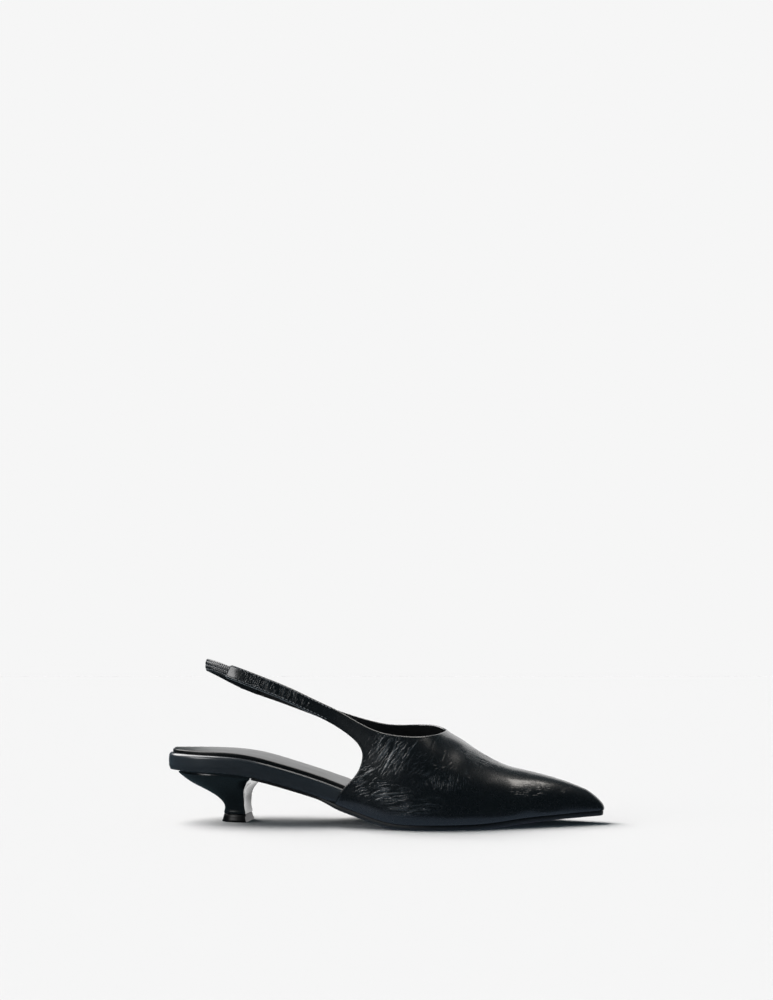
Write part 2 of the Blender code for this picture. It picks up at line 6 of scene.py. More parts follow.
import bmesh
import bpy
import numpy as np
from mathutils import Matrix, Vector


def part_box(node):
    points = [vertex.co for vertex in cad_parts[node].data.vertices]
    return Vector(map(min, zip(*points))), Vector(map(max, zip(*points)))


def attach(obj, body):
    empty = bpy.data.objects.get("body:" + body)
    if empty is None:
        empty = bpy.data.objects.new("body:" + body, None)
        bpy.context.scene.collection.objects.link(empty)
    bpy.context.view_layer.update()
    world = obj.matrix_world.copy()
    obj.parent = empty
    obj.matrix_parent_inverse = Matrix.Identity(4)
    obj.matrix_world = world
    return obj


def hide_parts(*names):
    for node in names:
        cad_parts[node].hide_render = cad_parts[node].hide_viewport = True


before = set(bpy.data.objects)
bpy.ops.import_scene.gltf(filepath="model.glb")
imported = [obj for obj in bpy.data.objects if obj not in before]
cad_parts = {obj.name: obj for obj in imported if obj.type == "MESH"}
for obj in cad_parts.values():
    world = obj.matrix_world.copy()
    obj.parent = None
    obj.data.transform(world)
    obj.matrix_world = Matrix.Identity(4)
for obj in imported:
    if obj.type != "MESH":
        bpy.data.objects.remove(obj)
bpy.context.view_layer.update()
bpy.context.scene.view_settings.view_transform = "Standard"


# Stage
# A plain pale floor runs out to a background of the same tone. A wide soft lamp hangs high behind the heel,
# and a faint one stands low behind it. The room is dim and cool, which keeps the near side black, and lit
# sheets that are seen only in reflections draw the lines of gloss.

MM = 0.001


def feed(tree, made, inputs):
    """Gives each named input of a node its value, or the socket that feeds it."""
    for name, value in inputs.items():
        if isinstance(value, bpy.types.NodeSocket):
            tree.links.new(value, made.inputs[name])
        else:
            made.inputs[name].default_value = value


def node(tree, kind, inputs=None, **settings):
    """Adds a node with its settings and its inputs."""
    made = tree.nodes.new(kind)
    for name, value in settings.items():
        setattr(made, name, value)
    feed(tree, made, inputs or {})
    return made


def linear(text):
    """An sRGB hex colour as linear red, green, blue and alpha."""
    shares = [int(text[i : i + 2], 16) / 255 for i in (1, 3, 5)]
    return (*(s / 12.92 if s <= 0.04045 else ((s + 0.055) / 1.055) ** 2.4 for s in shares), 1.0)


def bare_material(name):
    """A new material with its tree and its surface shader."""
    made = bpy.data.materials.new(name)
    made.use_nodes = True
    return made, made.node_tree, made.node_tree.nodes["Principled BSDF"]


def mesh_object(name, mesh, surfaces):
    """A smooth object at the origin, from a bmesh."""
    data = bpy.data.meshes.new(name)
    mesh.to_mesh(data)
    mesh.free()
    data.shade_smooth()
    for surface in surfaces:
        data.materials.append(surface)
    made = bpy.data.objects.new(name, data)
    bpy.context.scene.collection.objects.link(made)
    return made


ROOM = "#f6f6f6"  # what the camera sees behind the shoe
PAPER = "#e6e6e6"
DIM = (0.042, 0.064, 0.076)  # what the room sends to the shoe: red, green and blue of a cool grey
room = bpy.data.worlds.new("pale room")
room.use_nodes = True
room_tree = room.node_tree
dim = node(room_tree, "ShaderNodeBackground", {"Color": (*DIM, 1.0)})
pale = node(room_tree, "ShaderNodeBackground", {"Color": linear(ROOM)})
ray = node(room_tree, "ShaderNodeLightPath").outputs["Is Camera Ray"]
either = node(room_tree, "ShaderNodeMixShader", {0: ray, 1: dim.outputs[0], 2: pale.outputs[0]})
room_tree.links.new(either.outputs[0], room_tree.nodes["World Output"].inputs["Surface"])
bpy.context.scene.world = room

# Uncoated studio paper, pressed without a gloss: it takes the soft shadow evenly and shows no reflection
paper, paper_tree, paper_shader = bare_material("matt paper floor")
feed(paper_tree, paper_shader, {"Base Color": linear(PAPER), "Roughness": 1.0, "Specular IOR Level": 0.0})


def sheet(name, corners, surface):
    """A flat sheet of the stage."""
    mesh = bmesh.new()
    mesh.faces.new([mesh.verts.new(corner) for corner in corners])
    made = mesh_object(name, mesh, [surface])
    return made


FAR = 300.0  # the floor runs so far out that it ends in the background
sheet("floor", [(-FAR, -FAR, 0), (FAR, -FAR, 0), (FAR, FAR, 0), (-FAR, FAR, 0)], paper).visible_glossy = False


def reflected(name, colour, strength, corners):
    """A lit sheet that is seen only in reflections."""
    surface, tree, shader = bare_material(name)
    glow = {"Base Color": linear("#000000"), "Emission Color": linear(colour), "Emission Strength": strength}
    feed(tree, shader, glow)
    made = sheet(name, corners, surface)
    made.visible_camera = made.visible_diffuse = made.visible_shadow = False
    return tree, shader


# Corners of the lit sheets, in metres. The dim floor lies just under the real one.
BEHIND = [(-0.55, 2, -1.2), (3, 2, -1.2), (3, 2, 1.2), (-0.55, 2, 1.2)]
NEAR, UNDER = -110 * MM, -5 * MM
DIM_FLOOR = [(-0.05, NEAR, UNDER), (0.3, NEAR, UNDER), (0.3, 0, UNDER), (-0.05, 0, UNDER)]
OVER_TOE = [(0, -0.08, 0.8), (0.5, -0.08, 0.8), (0.5, 0.30, 0.8), (0, 0.30, 0.8)]
LEFT = [(-1.0, -0.6, 0.3), (-0.69, -0.89, 0.3), (-0.69, -0.89, 0.9), (-1.0, -0.6, 0.9)]
FLOOR_GLOW = 0.9

reflected("lit paper behind", ROOM, 1.05, BEHIND)
glow_tree, glow_shader = reflected("dim floor", "#8a9db3", FLOOR_GLOW, DIM_FLOOR)
reflected("over the toe", "#fffaf4", 6.0, OVER_TOE)
reflected("left of the camera", ROOM, 7.0, LEFT)

# The dim floor fades out towards the camera
glow_at = node(glow_tree, "ShaderNodeTexCoord").outputs["Object"]
near = node(glow_tree, "ShaderNodeSeparateXYZ", {"Vector": glow_at}).outputs["Y"]
fading = {"Value": near, "From Min": NEAR, "From Max": NEAR / 2, "To Max": FLOOR_GLOW}
faded = node(glow_tree, "ShaderNodeMapRange", fading).outputs["Result"]
feed(glow_tree, glow_shader, {"Emission Strength": faded})


def lamp(name, towards, wide, light):
    """A far soft lamp in a direction from the shoe, as wide as the angle in degrees. light is the red, green
    and blue that it brings to level white paper."""
    direction = Vector(towards).normalized()
    data = bpy.data.lights.new(name, "SUN")
    strength = np.array(light) * np.pi / direction.z
    data.energy = strength.max()
    data.color = strength / strength.max()
    data.angle = np.radians(wide)
    made = bpy.data.objects.new(name, data)
    made.rotation_euler = direction.to_track_quat("Z", "Y").to_euler()
    bpy.context.scene.collection.objects.link(made)
    return made


# Together the room and both lamps bring the paper to the background's tone
PAPER_LIGHT = np.divide(linear(ROOM)[:3], linear(PAPER)[:3])
LOW_LIGHT = np.full(3, 0.08)
lamp("behind the heel", (-1.0, -0.35, 0.45), 28, LOW_LIGHT).visible_glossy = False
lamp("overhead", (-0.72, 0.36, 1.0), 50, PAPER_LIGHT - DIM - LOW_LIGHT)

# The photo's camera: its place, how far in degrees it looks up and back towards the heel, and its lens in
# millimetres. The shift moves the frame up, so that the shoe stands as low in it as in the photo.
CAMERA = (36.6 * MM, -676.1 * MM, 87.5 * MM)
CAMERA_UP, CAMERA_TURN = 2.86, 3.0
eye = bpy.data.cameras.new("eye")
eye.sensor_width = 36
eye.lens = 40.36
eye.shift_y = 0.12
camera = bpy.data.objects.new("eye", eye)
camera.location = CAMERA
camera.rotation_euler = np.radians((90 + CAMERA_UP, 0, CAMERA_TURN))
bpy.context.scene.collection.objects.link(camera)
bpy.context.scene.camera = camera


# Footbed
# A moulded fibre board with a steel shank, wrapped at seat and waist in the upper's leather, which makes the
# rand. The leather is pulled round the edge while damp, so it is smooth and glossy, with a round upper edge.
# Its side is painted a lighter grey than the upper's black, as painted sheen.

LENGTH = 260 * MM  # footbed, from the back of the seat to the toe
BALL_WIDTH = 73 * MM  # footbed, where it is widest
HEEL_RISE = 28.7 * MM  # seat over ball
TOE_SPRING = 4.8 * MM  # toe over ball
GAP = 0.3 * MM  # between pieces that touch on the real shoe
EDGE_SOLE = 2.9 * MM  # outsole round the forepart
BOARD = 3.0 * MM  # footbed inside the upper
RAND = 9.9 * MM  # wrapped edge of the footbed at seat and waist
RAND_ROUND = 2.2 * MM  # rounding of the rand's upper edge
RAND_FULLEST = 0.45  # where the rand's side stands out most, as a share of its height
RAND_TURNED_IN = 0.4  # how far the side turns in below that, as a share of the rounding
RAND_LEAN = 0.35  # how much of that it leans in above
WAIST_FRONT = 4 * MM  # the sole is thinner and set in from this far before the vamp's corner
WAIST_FADE = 16 * MM  # and fully so, this much further back
VAMP_CORNER = 0.398 * LENGTH
OUTER, INNER = 0, 1
OUTLINE_POINTS = 1601
OUTLINE_WRAP = 5  # points past each end of the closed outline, so that its curve closes smoothly
FOOTBED_STATIONS = 200
ROUND_STEPS = 8
SAME = 0.01 * MM  # points closer together than this are one point
SHARP = 60  # degrees between two faces whose shared edge is drawn sharp


def table(columns, rows):
    """The columns of a table by name, each an array with a value for each row."""
    return dict(zip(columns.split(), np.transpose(rows)))


# Plan of the footbed: half widths as shares of BALL_WIDTH
PLAN = table(
    "along outer inner",
    (
        (0.000, 0.000, 0.000),
        (0.012, 0.160, 0.162),
        (0.046, 0.267, 0.272),
        (0.096, 0.334, 0.336),
        (0.154, 0.361, 0.336),
        (0.231, 0.367, 0.308),
        (0.308, 0.355, 0.277),
        (0.385, 0.372, 0.268),
        (0.462, 0.438, 0.318),
        (0.538, 0.512, 0.408),
        (0.596, 0.538, 0.456),
        (0.654, 0.518, 0.450),
        (0.731, 0.433, 0.389),
        (0.808, 0.326, 0.298),
        (0.885, 0.214, 0.198),
        (0.942, 0.129, 0.122),
        (0.977, 0.077, 0.074),
        (0.9935, 0.042, 0.042),
        (1.000, 0.000, 0.000),
    ),
)

# Side view of the footbed: shares of HEEL_RISE, of TOE_SPRING, and of the rand's height over the board
BOTTOM = table(
    "along rise spring rand",
    (
        (0.000, 1.000, 0.00, 1.00),
        (0.092, 0.969, 0.00, 1.00),
        (0.177, 0.923, 0.00, 1.00),
        (0.212, 0.871, 0.00, 1.00),
        (0.277, 0.718, 0.00, 1.00),
        (0.319, 0.606, 0.00, 1.00),
        (0.369, 0.463, 0.00, 1.00),
        (0.415, 0.317, 0.00, 1.00),
        (0.462, 0.178, 0.00, 0.70),
        (0.500, 0.075, 0.00, 0.35),
        (0.542, 0.012, 0.00, 0.08),
        (0.590, 0.000, 0.00, 0.00),
        (0.700, 0.000, 0.00, 0.00),
        (0.763, 0.000, 0.20, 0.00),
        (0.808, 0.000, 0.47, 0.00),
        (0.896, 0.000, 0.77, 0.00),
        (0.958, 0.000, 0.94, 0.00),
        (1.000, 0.000, 1.00, 0.00),
    ),
)


def spline(knots, values, at):
    """The natural cubic curve through the values at the knots."""
    knots = np.asarray(knots, float)
    values = np.asarray(values, float)
    step = np.diff(knots)
    count = len(knots)
    system = np.eye(count)
    right = np.zeros(count)
    for i in range(1, count - 1):
        system[i, i - 1 : i + 2] = step[i - 1], 2 * (step[i - 1] + step[i]), step[i]
        right[i] = 6 * ((values[i + 1] - values[i]) / step[i] - (values[i] - values[i - 1]) / step[i - 1])
    bend = np.linalg.solve(system, right)
    at = np.asarray(at, float)
    i = np.clip(np.searchsorted(knots, at, side="right") - 1, 0, count - 2)
    before = (knots[i + 1] - at) / step[i]
    after = (at - knots[i]) / step[i]
    curved = (before**3 - before) * bend[i] + (after**3 - after) * bend[i + 1]
    return before * values[i] + after * values[i + 1] + curved * step[i] ** 2 / 6


def along(rows, column, x):
    return spline(rows["along"] * LENGTH, rows[column], x)


def ease(x, start, end):
    """0 before start, 1 past end, smooth between."""
    t = np.clip((np.asarray(x, float) - start) / (end - start), 0, 1)
    return t * t * (3 - 2 * t)


def feather(x):
    """Underside of footbed and upper."""
    rise = np.maximum(along(BOTTOM, "rise", x), 0) * HEEL_RISE
    spring = np.maximum(along(BOTTOM, "spring", x), 0) * TOE_SPRING
    return EDGE_SOLE + GAP + rise + spring


def footbed_height(x):
    return BOARD + (RAND - BOARD) * np.clip(along(BOTTOM, "rand", x), 0, 1)


def open_waist(x):
    """1 where the rand shows, 0 inside the upper."""
    front = VAMP_CORNER + WAIST_FRONT
    return 1 - ease(x, front - WAIST_FADE, front)


def plan_outline():
    """For each side, its points from the back of the seat to the toe, and their outward normals."""
    x = PLAN["along"] * LENGTH
    outer = np.column_stack([x, -PLAN["outer"] * BALL_WIDTH])
    inner = np.column_stack([x, PLAN["inner"] * BALL_WIDTH])
    points = np.vstack([outer, inner[-2:0:-1]])
    ring = np.vstack([points[-OUTLINE_WRAP:], points, points[: OUTLINE_WRAP + 1]])
    knots = np.concatenate([[0], np.cumsum(np.linalg.norm(np.diff(ring, axis=0), axis=1))])
    toe = OUTLINE_WRAP + len(outer) - 1
    sides = []
    for first, last in ((OUTLINE_WRAP, toe), (OUTLINE_WRAP + len(points), toe)):
        at = np.linspace(knots[first], knots[last], OUTLINE_POINTS)
        run = np.column_stack([spline(knots, ring[:, 0], at), spline(knots, ring[:, 1], at)])
        tangent = np.gradient(run, axis=0)
        tangent /= np.linalg.norm(tangent, axis=1)[:, None]
        normal = np.column_stack([tangent[:, 1], -tangent[:, 0]])
        sides.append((run, -normal if first > toe else normal))
    return sides


OUTLINE = plan_outline()


def outline_at(side, x, offset, reach=0.0):
    """The plan points whose offset by reach lies at x, themselves offset by offset."""
    run, normal = OUTLINE[side]
    ahead = (run + normal * reach)[:, 0]
    place = np.interp(x, ahead, np.arange(len(run)))
    point = np.column_stack([np.interp(place, np.arange(len(run)), run[:, k]) for k in (0, 1)])
    square = np.column_stack([np.interp(place, np.arange(len(run)), normal[:, k]) for k in (0, 1)])
    return point + square * np.broadcast_to(offset, len(point))[:, None]


# From the last's own corner, at the back of the seat, to the model's frame
SHIFT = np.array([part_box("footbed")[0].x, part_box("footbed")[0].y - OUTLINE[OUTER][0][:, 1].min(), 0.0])


def face(mesh, corners):
    """A face from corners that may repeat, as they do where a rib ends in a point."""
    kept = [corner for i, corner in enumerate(corners) if corner is not corners[i - 1]]
    if len(kept) > 2:
        mesh.faces.new(kept)


def cap(mesh, loop, count, ribs, crown):
    """Closes a loop of two sides with ribs from side to side."""
    closed = len(loop) == 2 * count

    def rib(i):
        left, right = loop[i], loop[(2 * count - i) % len(loop)]
        if i == 0 and not closed:
            return [left, *reversed(loop[2 * count + 1 :]), right]
        if left is right:
            return [left] * (ribs + 1)
        between = []
        for j in range(1, ribs):
            u = j / ribs
            point = left.co.lerp(right.co, u)
            point.z += crown(point.x - SHIFT[0], 2 * u - 1)
            between.append(mesh.verts.new(point))
        return [left, *between, right]

    before = rib(0)
    for i in range(1, count + 1):
        after = rib(i)
        for j in range(ribs):
            face(mesh, [before[j], before[j + 1], after[j + 1], after[j]])
        before = after


def flat(x, across):
    """The crown of a flat face."""
    return 0.0


def loft(name, rings, ribs, surface, crown=flat, bow=None):
    """A closed solid through rings, lowest first. Each ring is an outer and an inner run of points from the
    first rib to a shared end. Where the runs start apart, the first rib is a face, bowed back by bow."""
    mesh = bmesh.new()
    count = len(rings[0][OUTER]) - 1
    apart = np.linalg.norm(rings[0][OUTER][0] - rings[0][INNER][0]) > SAME
    loops = []
    for number, (outer, inner) in enumerate(rings):
        points = list(outer) + list(inner[-2::-1])
        if not apart:
            points.pop()
        else:
            for j in range(ribs - 1, 0, -1):
                u = j / ribs
                point = outer[0] + (inner[0] - outer[0]) * u
                point[0] -= (bow[number] if bow else 0.0) * 4 * u * (1 - u)
                points.append(point)
        loops.append([mesh.verts.new(point + SHIFT) for point in points])
    for below, above in zip(loops, loops[1:]):
        for j in range(len(below)):
            mesh.faces.new([below[j - 1], below[j], above[j], above[j - 1]])
    cap(mesh, loops[0], count, ribs, flat)
    cap(mesh, loops[-1], count, ribs, crown)
    bmesh.ops.recalc_face_normals(mesh, faces=mesh.faces)
    made = mesh_object(name, mesh, [surface])
    made.data.set_sharp_from_angle(angle=np.radians(SHARP))
    return made


def stations(start, count):
    """Places along from start to the toe, closer together at both ends."""
    angle = np.linspace(0, np.pi, count + 1)
    return start + (LENGTH - start) * (1 - np.cos(angle)) / 2


def plan_ring(x, offset, height, reach=0.0):
    """The two sides of a ring: the outline at the stations, offset, at the heights of its own places."""
    sides = []
    for side in (OUTER, INNER):
        plan = outline_at(side, x[side], offset(x[side]), reach)
        sides.append(np.column_stack([plan, height(plan[:, 0])]))
    for end in (0, -1):
        meet = abs(x[OUTER][end] - x[INNER][end]) < SAME
        if meet and (end or x[OUTER][0] < SAME):
            middle = (sides[OUTER][end] + sides[INNER][end]) / 2
            sides[OUTER][end] = sides[INNER][end] = middle
    return sides


PORE_SHARE = 0.25  # height of the pores, as a share of the softer relief they lie in
GLOSS_DRIFT = 0.015  # how far the roughness goes up and down over the leather
CLOUD = 22 * MM  # width of the places where the dye is a little paler


def black_leather(name, colour, paler, roughness, coat, coat_roughness, grain, relief):
    """Finished calf: tanned, dyed black and waxed, so it has a tight grain under a clear, slightly uneven
    gloss. Grain is the width of one pore field, and relief its height in millimetres. What comes back is the
    material, its tree, its height and the bump that reads it."""
    made, tree, shader = bare_material(name)
    at = node(tree, "ShaderNodeTexCoord").outputs["Object"]
    pore = {"Vector": at, "Scale": 1 / grain, "Smoothness": 0.6}
    pores = node(tree, "ShaderNodeTexVoronoi", pore, feature="SMOOTH_F1").outputs["Distance"]
    swells = {"Vector": at, "Scale": 1 / (6 * grain), "Detail": 5.0}
    soft = node(tree, "ShaderNodeTexNoise", swells).outputs["Fac"]
    clouds = {"Vector": at, "Scale": 1 / CLOUD, "Detail": 3.0}
    cloudy = node(tree, "ShaderNodeTexNoise", clouds).outputs["Fac"]
    grainy = node(tree, "ShaderNodeMath", {0: pores, 1: PORE_SHARE * relief}, operation="MULTIPLY").outputs[0]
    height = node(tree, "ShaderNodeMath", {0: soft, 1: relief, 2: grainy}, operation="MULTIPLY_ADD")
    tones = {"Factor": cloudy, "A": linear(colour), "B": linear(paler)}
    tone = node(tree, "ShaderNodeMix", tones, data_type="RGBA").outputs["Result"]
    drift = {"To Min": roughness - GLOSS_DRIFT, "To Max": roughness + GLOSS_DRIFT}
    uneven = node(tree, "ShaderNodeMapRange", {"Value": soft, "From Min": 0.3, "From Max": 0.7, **drift})
    bump = node(tree, "ShaderNodeBump", {"Height": height.outputs[0], "Distance": 1 * MM, "Strength": 1.0})
    feed(tree, shader, {"Base Color": tone, "Roughness": uneven.outputs["Result"]})
    feed(tree, shader, {"Coat Weight": coat, "Coat Roughness": coat_roughness})
    feed(tree, shader, {"Normal": bump.outputs["Normal"], "Coat Normal": bump.outputs["Normal"]})
    return made, tree, height, bump


# Waxed calf, pulled round the edge: hardly any grain, so a long soft line of light runs along its rounding.
# Its grey, lighter than the upper's black, is painted sheen.
rand_leather = black_leather(
    "waxed black calf of the rand", "#20272e", "#2a3138", 0.32, 0.5, 0.14, 0.7 * MM, 0.008
)[0]


def make_footbed():
    x = stations(0, FOOTBED_STATIONS)
    both = (x, x)

    def top(at):
        return feather(at) + footbed_height(at)

    def rounding(at):
        return RAND_ROUND * footbed_height(at) / RAND

    def side_offset(at, up):
        """The rand's side is a little convex, and turns in under the board. up is 1 at its rounding."""
        below = np.maximum(1 - up / RAND_FULLEST, 0) ** 2
        return -RAND_TURNED_IN * rounding(at) * (below + RAND_LEAN * max(up - RAND_FULLEST, 0) ** 2)

    rings = []
    for up in (0, 0.08, 0.16, 0.25, 0.35, RAND_FULLEST, 0.6, 0.75, 0.9):
        rings.append(
            plan_ring(
                both,
                lambda at: side_offset(at, up),
                lambda at: feather(at) + up * (footbed_height(at) - rounding(at)),
            )
        )
    for angle in np.linspace(0, np.pi / 2, ROUND_STEPS):
        rings.append(
            plan_ring(
                both,
                lambda at: side_offset(at, 1) - rounding(at) * (1 - np.cos(angle)),
                lambda at: top(at) - rounding(at) * (1 - np.sin(angle)),
            )
        )
    return loft("wrapped_footbed", rings, 4, rand_leather)


footbed = make_footbed()
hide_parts("footbed")
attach(footbed, "root")


# Outsole
# A thin sheet of moulded rubber with a satin skin, cut to the shoe's outline, bevelled below and cemented on.
# It is full thickness round the forepart and thinner under the waist, where it runs back to the heel.

WAIST_SOLE = 1.6 * MM  # outsole under the waist
SOLE_INSET = 0.5 * MM  # outsole edge inside the upper
WAIST_INSET = 1.8 * MM  # outsole edge inside the rand
SOLE_BEVEL = 0.8 * MM
SOLE_STATIONS = 170
WALL = 1.6 * MM  # upper leather with its lining
BREAST = 56 * MM  # front of the heel at the seat
BREAST_TURN = 0.09  # the breast faces a little outwards, as a slope
FEATHER_REACH = WALL + GAP  # from the footbed's edge to the upper's outer face

# Solid rubber, moulded with a satin skin: an even, low sheen, duller where the floor has scuffed it
rubber, rubber_tree, rubber_shader = bare_material("satin black sole rubber")
rubber_at = node(rubber_tree, "ShaderNodeTexCoord").outputs["Object"]
patches = {"Vector": rubber_at, "Scale": 1 / (9 * MM), "Detail": 6.0}
scuff = node(rubber_tree, "ShaderNodeTexNoise", patches).outputs["Fac"]
pits = {"Vector": rubber_at, "Scale": 1 / (0.5 * MM), "Detail": 3.0}
pitted = node(rubber_tree, "ShaderNodeTexNoise", pits).outputs["Fac"]
rubber_tones = {"Factor": scuff, "A": linear("#0e1013"), "B": linear("#1a1c1f")}
rubber_tone = node(rubber_tree, "ShaderNodeMix", rubber_tones, data_type="RGBA").outputs["Result"]
sheen = {"Value": scuff, "To Min": 0.36, "To Max": 0.62}
dull = node(rubber_tree, "ShaderNodeMapRange", sheen).outputs["Result"]
rubber_bump = node(rubber_tree, "ShaderNodeBump", {"Height": pitted, "Distance": 0.06 * MM}).outputs["Normal"]
feed(rubber_tree, rubber_shader, {"Base Color": rubber_tone, "Roughness": dull, "Normal": rubber_bump})


def make_outsole():
    starts = []
    for side in (OUTER, INNER):
        y = outline_at(side, [BREAST], -WAIST_INSET)[0, 1]
        starts.append(BREAST + GAP + BREAST_TURN * y)
    both = [stations(start, SOLE_STATIONS) for start in starts]

    def edge(at):
        return (FEATHER_REACH - SOLE_INSET) * (1 - open_waist(at)) - WAIST_INSET * open_waist(at)

    def top(at):
        return feather(at) - GAP

    def tread(at):
        return np.maximum(top(at) - EDGE_SOLE - (WAIST_SOLE - EDGE_SOLE) * open_waist(at), 0)

    rings = [
        plan_ring(both, lambda at: edge(at) - SOLE_BEVEL, tread),
        plan_ring(both, lambda at: edge(at) - 0.3 * SOLE_BEVEL, lambda at: tread(at) + 0.2 * SOLE_BEVEL),
        plan_ring(both, edge, lambda at: tread(at) + 0.6 * SOLE_BEVEL),
        plan_ring(both, edge, lambda at: top(at) - 0.2 * SOLE_BEVEL),
        plan_ring(both, lambda at: edge(at) - 0.2 * SOLE_BEVEL, top),
    ]
    return loft("thin_outsole", rings, 4, rubber)


outsole = make_outsole()
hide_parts("outsole")
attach(outsole, "root")


# Upper
# Soft glossy calf over a thin lining, cut in one with both sling straps, its edges folded under and sewn.
# Lasting pulls it smooth over the toe, while the sides keep fine creases. The straps are gathered a little.

INSTEP = 50.7 * MM  # height over the feather line at the throat
TUCK = 1.6 * MM  # how far the side overhangs the feather line
TUCK_SHARE = 0.10  # the widest line, as a share of the section's height
TUCK_ANGLE = 0.6  # slope of the leather where it meets the sole, in radians from upright
TIP = LENGTH + FEATHER_REACH
TOE_FAN = 12 * MM  # the toe's columns lean back to the ridge by up to this
TOE_FAN_START = 222 * MM
STRAP_WIDTH = 8.3 * MM
STRAP_TURN = 50 * MM  # where the straps begin to turn round the heel
STRAP_BACK = 20.5 * MM  # outer face of the loop at its back
STRAP_LEAN = 0.37  # the width runs this far forward for each unit along the strap's own square
CORNER_ROW = 3  # row of EDGES at the vamp's corner
STRAP_ROW = 10  # first row of EDGES on the strap

# The last over the feather line: ridge height as a share of INSTEP, where the ridge lies across as a share
# of BALL_WIDTH, and how full the section is at its crown and at its flank (2 is an ellipse)
SECTIONS = table(
    "along ridge across crown flank",
    (
        (0.000, 1.730, 0.000, 2.0, 2.2),
        (0.115, 1.731, 0.000, 2.0, 2.2),
        (0.192, 1.739, 0.000, 2.0, 2.2),
        (0.269, 1.746, 0.002, 2.0, 2.2),
        (0.346, 1.727, 0.008, 2.0, 2.2),
        (0.423, 1.680, 0.020, 2.0, 2.2),
        (0.500, 1.575, 0.034, 2.0, 2.2),
        (0.577, 1.365, 0.044, 2.0, 2.2),
        (0.615, 1.200, 0.046, 2.0, 2.2),
        (0.650, 1.015, 0.047, 2.0, 2.2),
        (0.679, 0.922, 0.046, 1.95, 2.2),
        (0.708, 0.820, 0.043, 1.9, 2.2),
        (0.735, 0.727, 0.039, 1.9, 2.2),
        (0.762, 0.642, 0.035, 1.9, 2.25),
        (0.788, 0.571, 0.030, 1.9, 2.3),
        (0.815, 0.520, 0.025, 1.95, 2.3),
        (0.846, 0.473, 0.019, 2.0, 2.35),
        (0.877, 0.425, 0.014, 2.0, 2.4),
        (0.914, 0.360, 0.009, 2.0, 2.4),
        (0.942, 0.300, 0.006, 2.0, 2.4),
        (0.969, 0.237, 0.004, 2.0, 2.4),
        (1.000, 0.156, 0.003, 2.0, 2.4),
    ),
)

# Edges behind the throat, a row for each line square to them, from the throat to the strap's end. low is the
# feather line as far as the corner, then the cut-out and the strap's lower edge; high is the topline.
EDGE_COLUMNS = "low_along low_up high_along high_up"
EDGES = (
    table(
        EDGE_COLUMNS,
        (
            (0.650, 0.000, 0.650, 1.015),
            (0.569, 0.000, 0.632, 0.996),
            (0.481, 0.000, 0.608, 0.984),
            (0.398, 0.000, 0.582, 0.980),
            (0.420, 0.213, 0.558, 0.982),
            (0.447, 0.405, 0.533, 0.985),
            (0.462, 0.615, 0.506, 0.987),
            (0.456, 0.750, 0.477, 0.998),
            (0.433, 0.831, 0.446, 1.026),
            (0.400, 0.885, 0.411, 1.066),
            (0.365, 0.915, 0.365, 0.915),
            (0.331, 0.940, 0.331, 0.940),
            (0.277, 0.986, 0.277, 0.986),
            (0.223, 1.023, 0.223, 1.023),
            (0.185, 1.060, 0.185, 1.060),
            (0.148, 1.105, 0.148, 1.105),
        ),
    ),
    table(
        EDGE_COLUMNS,
        (
            (0.650, 0.000, 0.650, 1.015),
            (0.569, 0.000, 0.633, 1.052),
            (0.481, 0.000, 0.610, 1.070),
            (0.404, 0.000, 0.583, 1.070),
            (0.427, 0.229, 0.558, 1.061),
            (0.456, 0.424, 0.533, 1.050),
            (0.471, 0.631, 0.507, 1.036),
            (0.465, 0.745, 0.479, 1.024),
            (0.440, 0.805, 0.448, 1.017),
            (0.404, 0.831, 0.412, 1.015),
            (0.365, 0.842, 0.365, 0.842),
            (0.331, 0.854, 0.331, 0.854),
            (0.277, 0.874, 0.277, 0.874),
            (0.223, 0.897, 0.223, 0.897),
            (0.185, 0.927, 0.185, 0.927),
            (0.148, 0.978, 0.148, 0.978),
        ),
    ),
)

# How the same lines bow: the share of their way along, and of their way up, at the point they bend towards
BOWS = table(
    "along_first up_first",
    (
        (0.00, 0.50),
        (0.30, 0.45),
        (0.60, 0.33),
        (0.85, 0.20),
        (0.88, 0.22),
        (0.88, 0.24),
        (0.85, 0.28),
        (0.75, 0.36),
        (0.60, 0.45),
        (0.50, 0.50),
        (0.50, 0.50),
        (0.50, 0.50),
        (0.50, 0.50),
        (0.50, 0.50),
        (0.50, 0.50),
        (0.50, 0.50),
    ),
)

